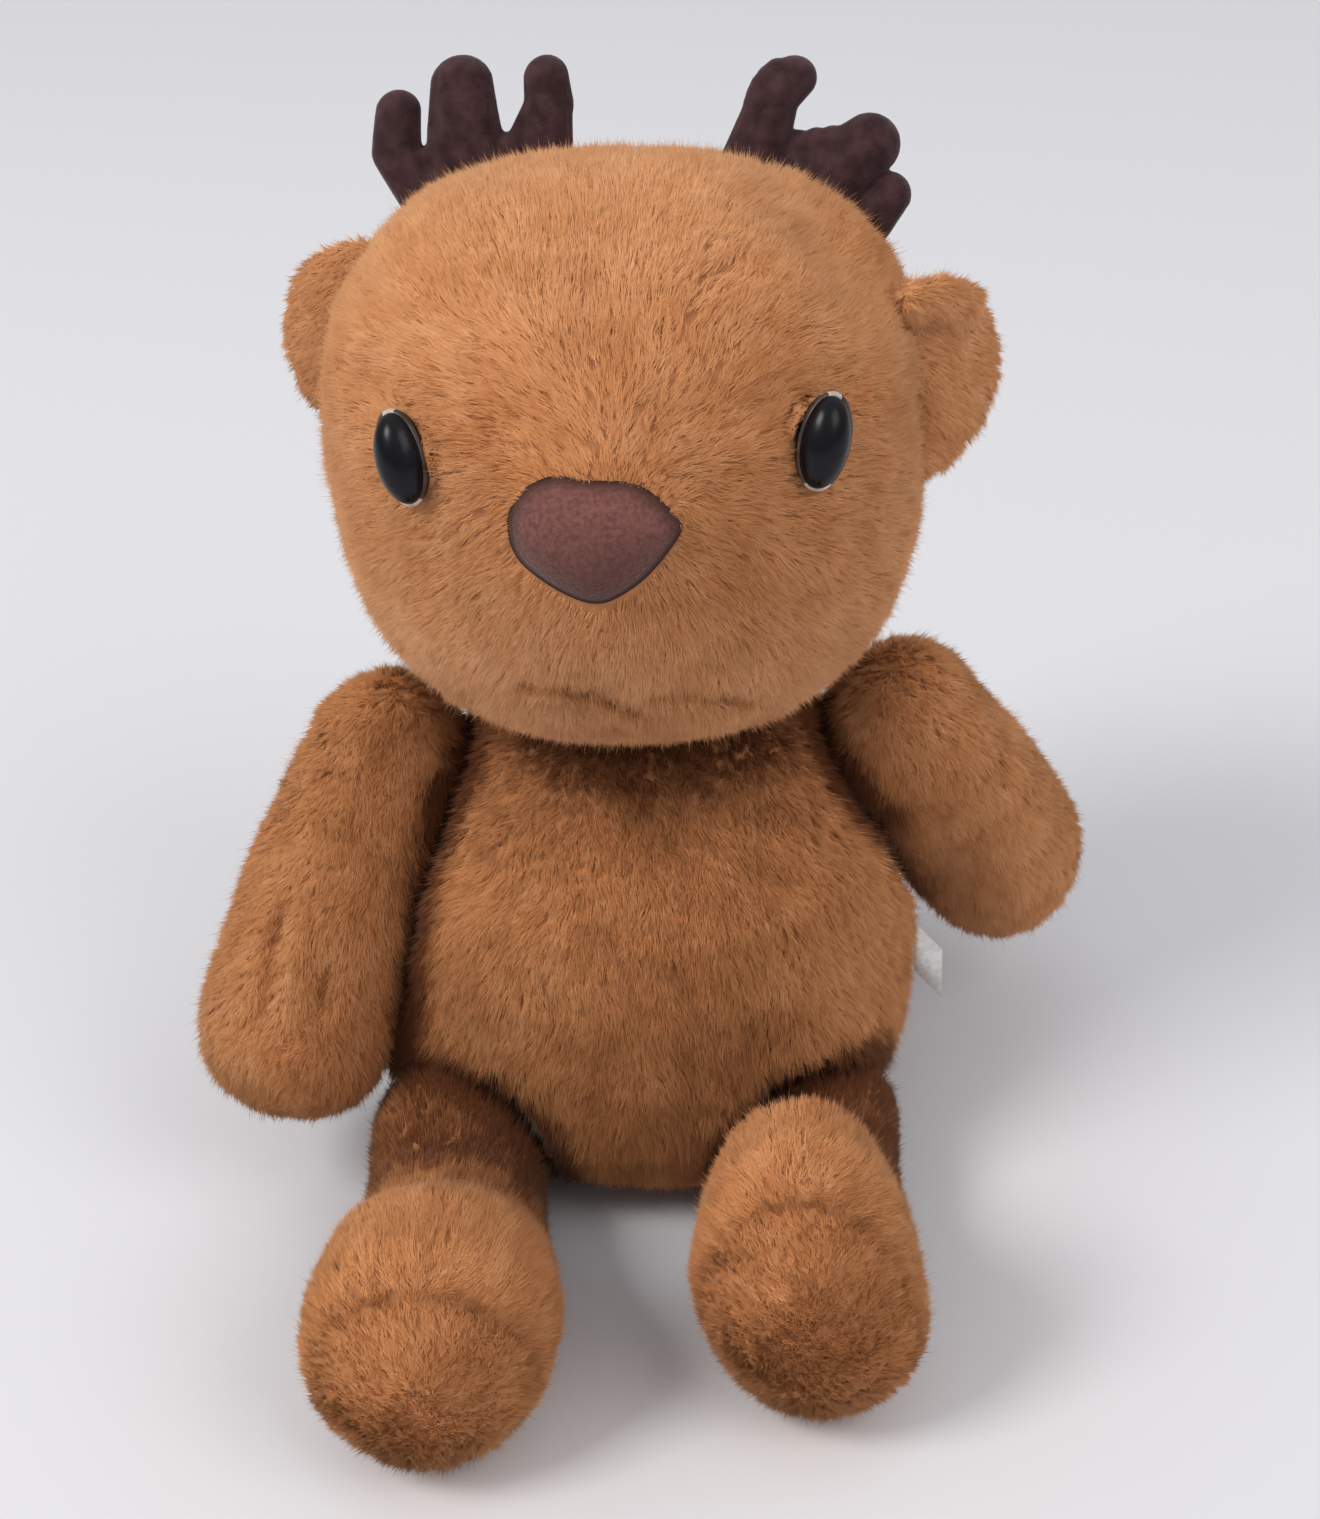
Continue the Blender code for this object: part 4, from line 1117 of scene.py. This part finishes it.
def make_antler(side):
    """A stuffed suede antler, with webs between its tines."""
    antler = sunk_copy("antler_" + side, "antler_%s_suede" % side, SUEDE, "head_skin",
                       HEAD_MIDDLE, ANTLER_SINK, ANTLER_VOXEL, ANTLER_ROUNDS,
                       ANTLER_WEBS[side])
    pushed(antler, ANTLER_PUFF)
    nudged(antler, ANTLER_NUDGES[side])
    stuffed(antler, "head", "antler_felt", 0.8, "antler_" + side)


for number, side in enumerate(("left", "right")):
    make_arm(side, ARM_SEED + number)
    make_leg(side, LEG_SEED + number, SOLE_SEED + number)
    make_ear(side, EAR_SEED + number)
    make_antler(side)


# Eyes
def turned_oval(name, profile, middle, axes, material, ends=None):
    """An oval solid of revolution: profile gives shares of the half sizes and real heights."""
    long_way, short_way, out, half_long, half_short = axes
    mesh = bmesh.new()
    rings = []
    for share, height in profile:
        ring = []
        for step in range(EYE_AROUND):
            angle = 2 * math.pi * step / EYE_AROUND
            ring.append(mesh.verts.new(
                middle + long_way * (math.sin(angle) * share * half_long)
                + short_way * (math.cos(angle) * share * half_short) + out * height))
        rings.append(ring)
    for first, second in zip(rings, rings[1:]):
        for i in range(EYE_AROUND):
            j = (i + 1) % EYE_AROUND
            face = mesh.faces.new((first[i], first[j], second[j], second[i]))
            upright = abs(math.sin(2 * math.pi * (i + 0.5) / EYE_AROUND))
            limit = EYE_RIM_UPPER_END if i < EYE_AROUND / 2 else EYE_RIM_LOWER_END
            face.material_index = int(ends is not None and upright > limit)
    mesh.faces.new(rings[0][::-1])
    mesh.faces.new(rings[-1])
    bmesh.ops.recalc_face_normals(mesh, faces=mesh.faces)
    return object_from(mesh, name, *[m for m in (material, ends) if m])


def make_eye(side):
    """A glossy domed eye in its rim; the light ends of the rim are what shows of the backing."""
    middle, long_way, short_way, out, reach = EYES[side]
    dome = [(1.0, EYE_BACK), (1.0, -EYE_RIM_SINK)]
    for step in range(1, EYE_DOME_STEPS):
        angle = math.pi / 2 * step / EYE_DOME_STEPS
        dome.append((math.cos(angle), -EYE_RIM_SINK + EYE_DOME * math.sin(angle)))
    dome.append((EYE_DOME_TOP, -EYE_RIM_SINK + EYE_DOME))
    axes = (long_way, short_way, out, reach[0] - EYE_RIM_BAND, reach[1] - EYE_RIM_BAND)
    inward = -short_way * np.sign(short_way[0] * middle[0])
    eye = turned_oval("eye_%s_dome" % side, dome, middle + inward * EYE_SHIFT, axes, GLOSS)
    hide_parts("eye_" + side)
    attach(eye, "head")
    axes = (long_way, short_way, out, reach[0], reach[1])
    ring = turned_oval("eye_%s_rim" % side, EYE_RIM_PROFILE, middle, axes, RIM, RIM_END)
    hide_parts("eye_backing_" + side)
    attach(ring, "head")
    washer = NODES["eye_washer_" + side]
    washer.data.materials.clear()
    washer.data.materials.append(RIM_END)


for side in EYES:
    make_eye(side)


# Nose
def make_nose():
    """A padded suede nose in the photograph's outline, its seam and underside in painted shade.
    """
    under = bmesh.new()
    under.from_mesh(head_base.data)
    tree = BVHTree.FromBMesh(under)
    under.free()
    middle = nose_spots(tree, [(0.0, 0.0)])[0]
    out = (tree.find_nearest(middle)[1] + view_axes()[2] * NOSE_LEAN).normalized()
    rows = list(NOSE_SEAM_ROWS)
    for ring in range(NOSE_RINGS):
        share = 1 - ring / NOSE_RINGS
        rows.append((share, NOSE_SWELL * (1 - share ** NOSE_FLATNESS) ** NOSE_ROUNDNESS))
    mesh = bmesh.new()
    verts = []
    for share, rise in rows:
        lift = out * (NOSE_LIFT + rise)
        verts.append([mesh.verts.new(place + lift)
                      for place in nose_spots(tree, NOSE_OUTLINE * share)])
    for row, (first, second) in enumerate(zip(verts, verts[1:])):
        for i in range(len(first)):
            j = (i + 1) % len(first)
            face = mesh.faces.new((first[i], first[j], second[j], second[i]))
            face.material_index = int(row < len(NOSE_SEAM_ROWS))
    top = mesh.verts.new(middle + out * (NOSE_LIFT + NOSE_SWELL))
    for i in range(len(NOSE_OUTLINE)):
        mesh.faces.new((verts[-1][i], verts[-1][(i + 1) % len(NOSE_OUTLINE)], top))
    mesh.faces.new(verts[0][::-1])
    bmesh.ops.recalc_face_normals(mesh, faces=mesh.faces)
    nose = object_from(mesh, "nose_pad", NOSE_SUEDE, SEAM)
    # Painted shade: darker towards the seam edge and the underside
    dark = []
    for share, _ in rows:
        rim = eased((share - NOSE_DARK_FROM) / (1 - NOSE_DARK_FROM)) * NOSE_RIM_PAINTED_SHADE
        low = eased(NOSE_LOW_FROM - NOSE_OUTLINE[:, 1] * share * NOSE_LOW_FADE)
        dark.append(rim + (1 - rim) * NOSE_UNDERSIDE_PAINTED_SHADE * low)
    values = np.append(np.concatenate(dark), NOSE_APEX_PAINTED_SHADE)
    nose.data.attributes.new("dark", "FLOAT", "POINT").data.foreach_set("value", values)
    stuffed(nose, "head", "nose_felt", 0.9, "nose")


make_nose()


# Label
def make_label():
    """A blank ribbon, thinner than its CAD solid, along the middle of it."""
    mesh = welded("side_label")
    broad = max(mesh.faces, key=lambda face: face.calc_area()).normal.copy()
    gone = [face for face in mesh.faces if face.normal.dot(broad) < LABEL_FACING]
    bmesh.ops.delete(mesh, geom=gone, context="FACES")
    for vertex in mesh.verts:
        vertex.co -= broad * LABEL_HALF
    ribbon = object_from(joined(mesh), "side_label_ribbon", RIBBON)
    solid = ribbon.modifiers.new("ribbon", "SOLIDIFY")
    solid.thickness = RIBBON_THICKNESS
    solid.offset = 0.0
    applied(ribbon)
    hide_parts("side_label")
    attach(ribbon, "torso")


make_label()


# Studio
def lamp(name, place, size, power, colour):
    """A square lamp aimed at the toy."""
    light = bpy.data.lights.new(name, "AREA")
    light.size = size
    light.energy = power
    light.color = colour
    obj = bpy.data.objects.new(name, light)
    obj.location = place
    aim = LAMP_AIM - Vector(place)
    obj.rotation_euler = aim.to_track_quat("-Z", "Y").to_euler()
    bpy.context.scene.collection.objects.link(obj)


def make_studio():
    """A pale floor, two soft lamps, and a sky that the camera sees as a plain backdrop."""
    data = bpy.data.meshes.new("floor")
    corners = [(-FLOOR_HALF, -FLOOR_HALF, 0), (FLOOR_HALF, -FLOOR_HALF, 0),
               (FLOOR_HALF, FLOOR_HALF, 0), (-FLOOR_HALF, FLOOR_HALF, 0)]
    data.from_pydata(corners, [], [(0, 1, 2, 3)])
    data.materials.append(principled("floor_paper", FLOOR_COLOUR, 0.9))
    floor = bpy.data.objects.new("floor", data)
    bpy.context.scene.collection.objects.link(floor)
    lamp("key", KEY_PLACE, KEY_SIZE, KEY_POWER, KEY_COLOUR)
    lamp("fill", FILL_PLACE, FILL_SIZE, FILL_POWER, FILL_COLOUR)
    world = bpy.data.worlds.new("studio")
    bpy.context.scene.world = world
    world.use_nodes = True
    nodes, links = world.node_tree.nodes, world.node_tree.links
    where = nodes.new("ShaderNodeTexCoord")
    parts = nodes.new("ShaderNodeSeparateXYZ")
    height = nodes.new("ShaderNodeMapRange")
    height.inputs["To Min"].default_value = SKY_LOW
    height.inputs["To Max"].default_value = SKY_HIGH
    links.new(where.outputs["Generated"], parts.inputs["Vector"])
    links.new(parts.outputs["Z"], height.inputs["Value"])
    links.new(height.outputs["Result"], nodes["Background"].inputs["Strength"])
    nodes["Background"].inputs["Color"].default_value = (*SKY_COLOUR, 1)
    seen = nodes.new("ShaderNodeBackground")
    seen.inputs["Color"].default_value = (*BACKDROP_COLOUR, 1)
    rays = nodes.new("ShaderNodeLightPath")
    mix = nodes.new("ShaderNodeMixShader")
    links.new(rays.outputs["Is Camera Ray"], mix.inputs["Fac"])
    links.new(nodes["Background"].outputs["Background"], mix.inputs[1])
    links.new(seen.outputs["Background"], mix.inputs[2])
    links.new(mix.outputs["Shader"], nodes["World Output"].inputs["Surface"])


def make_camera():
    """The camera that took the photograph."""
    right, up, back = view_axes()
    data = bpy.data.cameras.new("camera")
    data.sensor_fit = "HORIZONTAL"
    data.sensor_width = SENSOR
    data.lens = SENSOR * FOCAL_PX / PHOTO_WIDTH
    camera = bpy.data.objects.new("camera", data)
    bpy.context.scene.collection.objects.link(camera)
    turn = Matrix((right, up, back)).transposed().to_4x4()
    camera.matrix_world = Matrix.Translation(LOOK_AT + back * DISTANCE) @ turn
    bpy.context.scene.camera = camera


make_studio()
make_camera()
bpy.context.scene.view_settings.view_transform = "Standard"
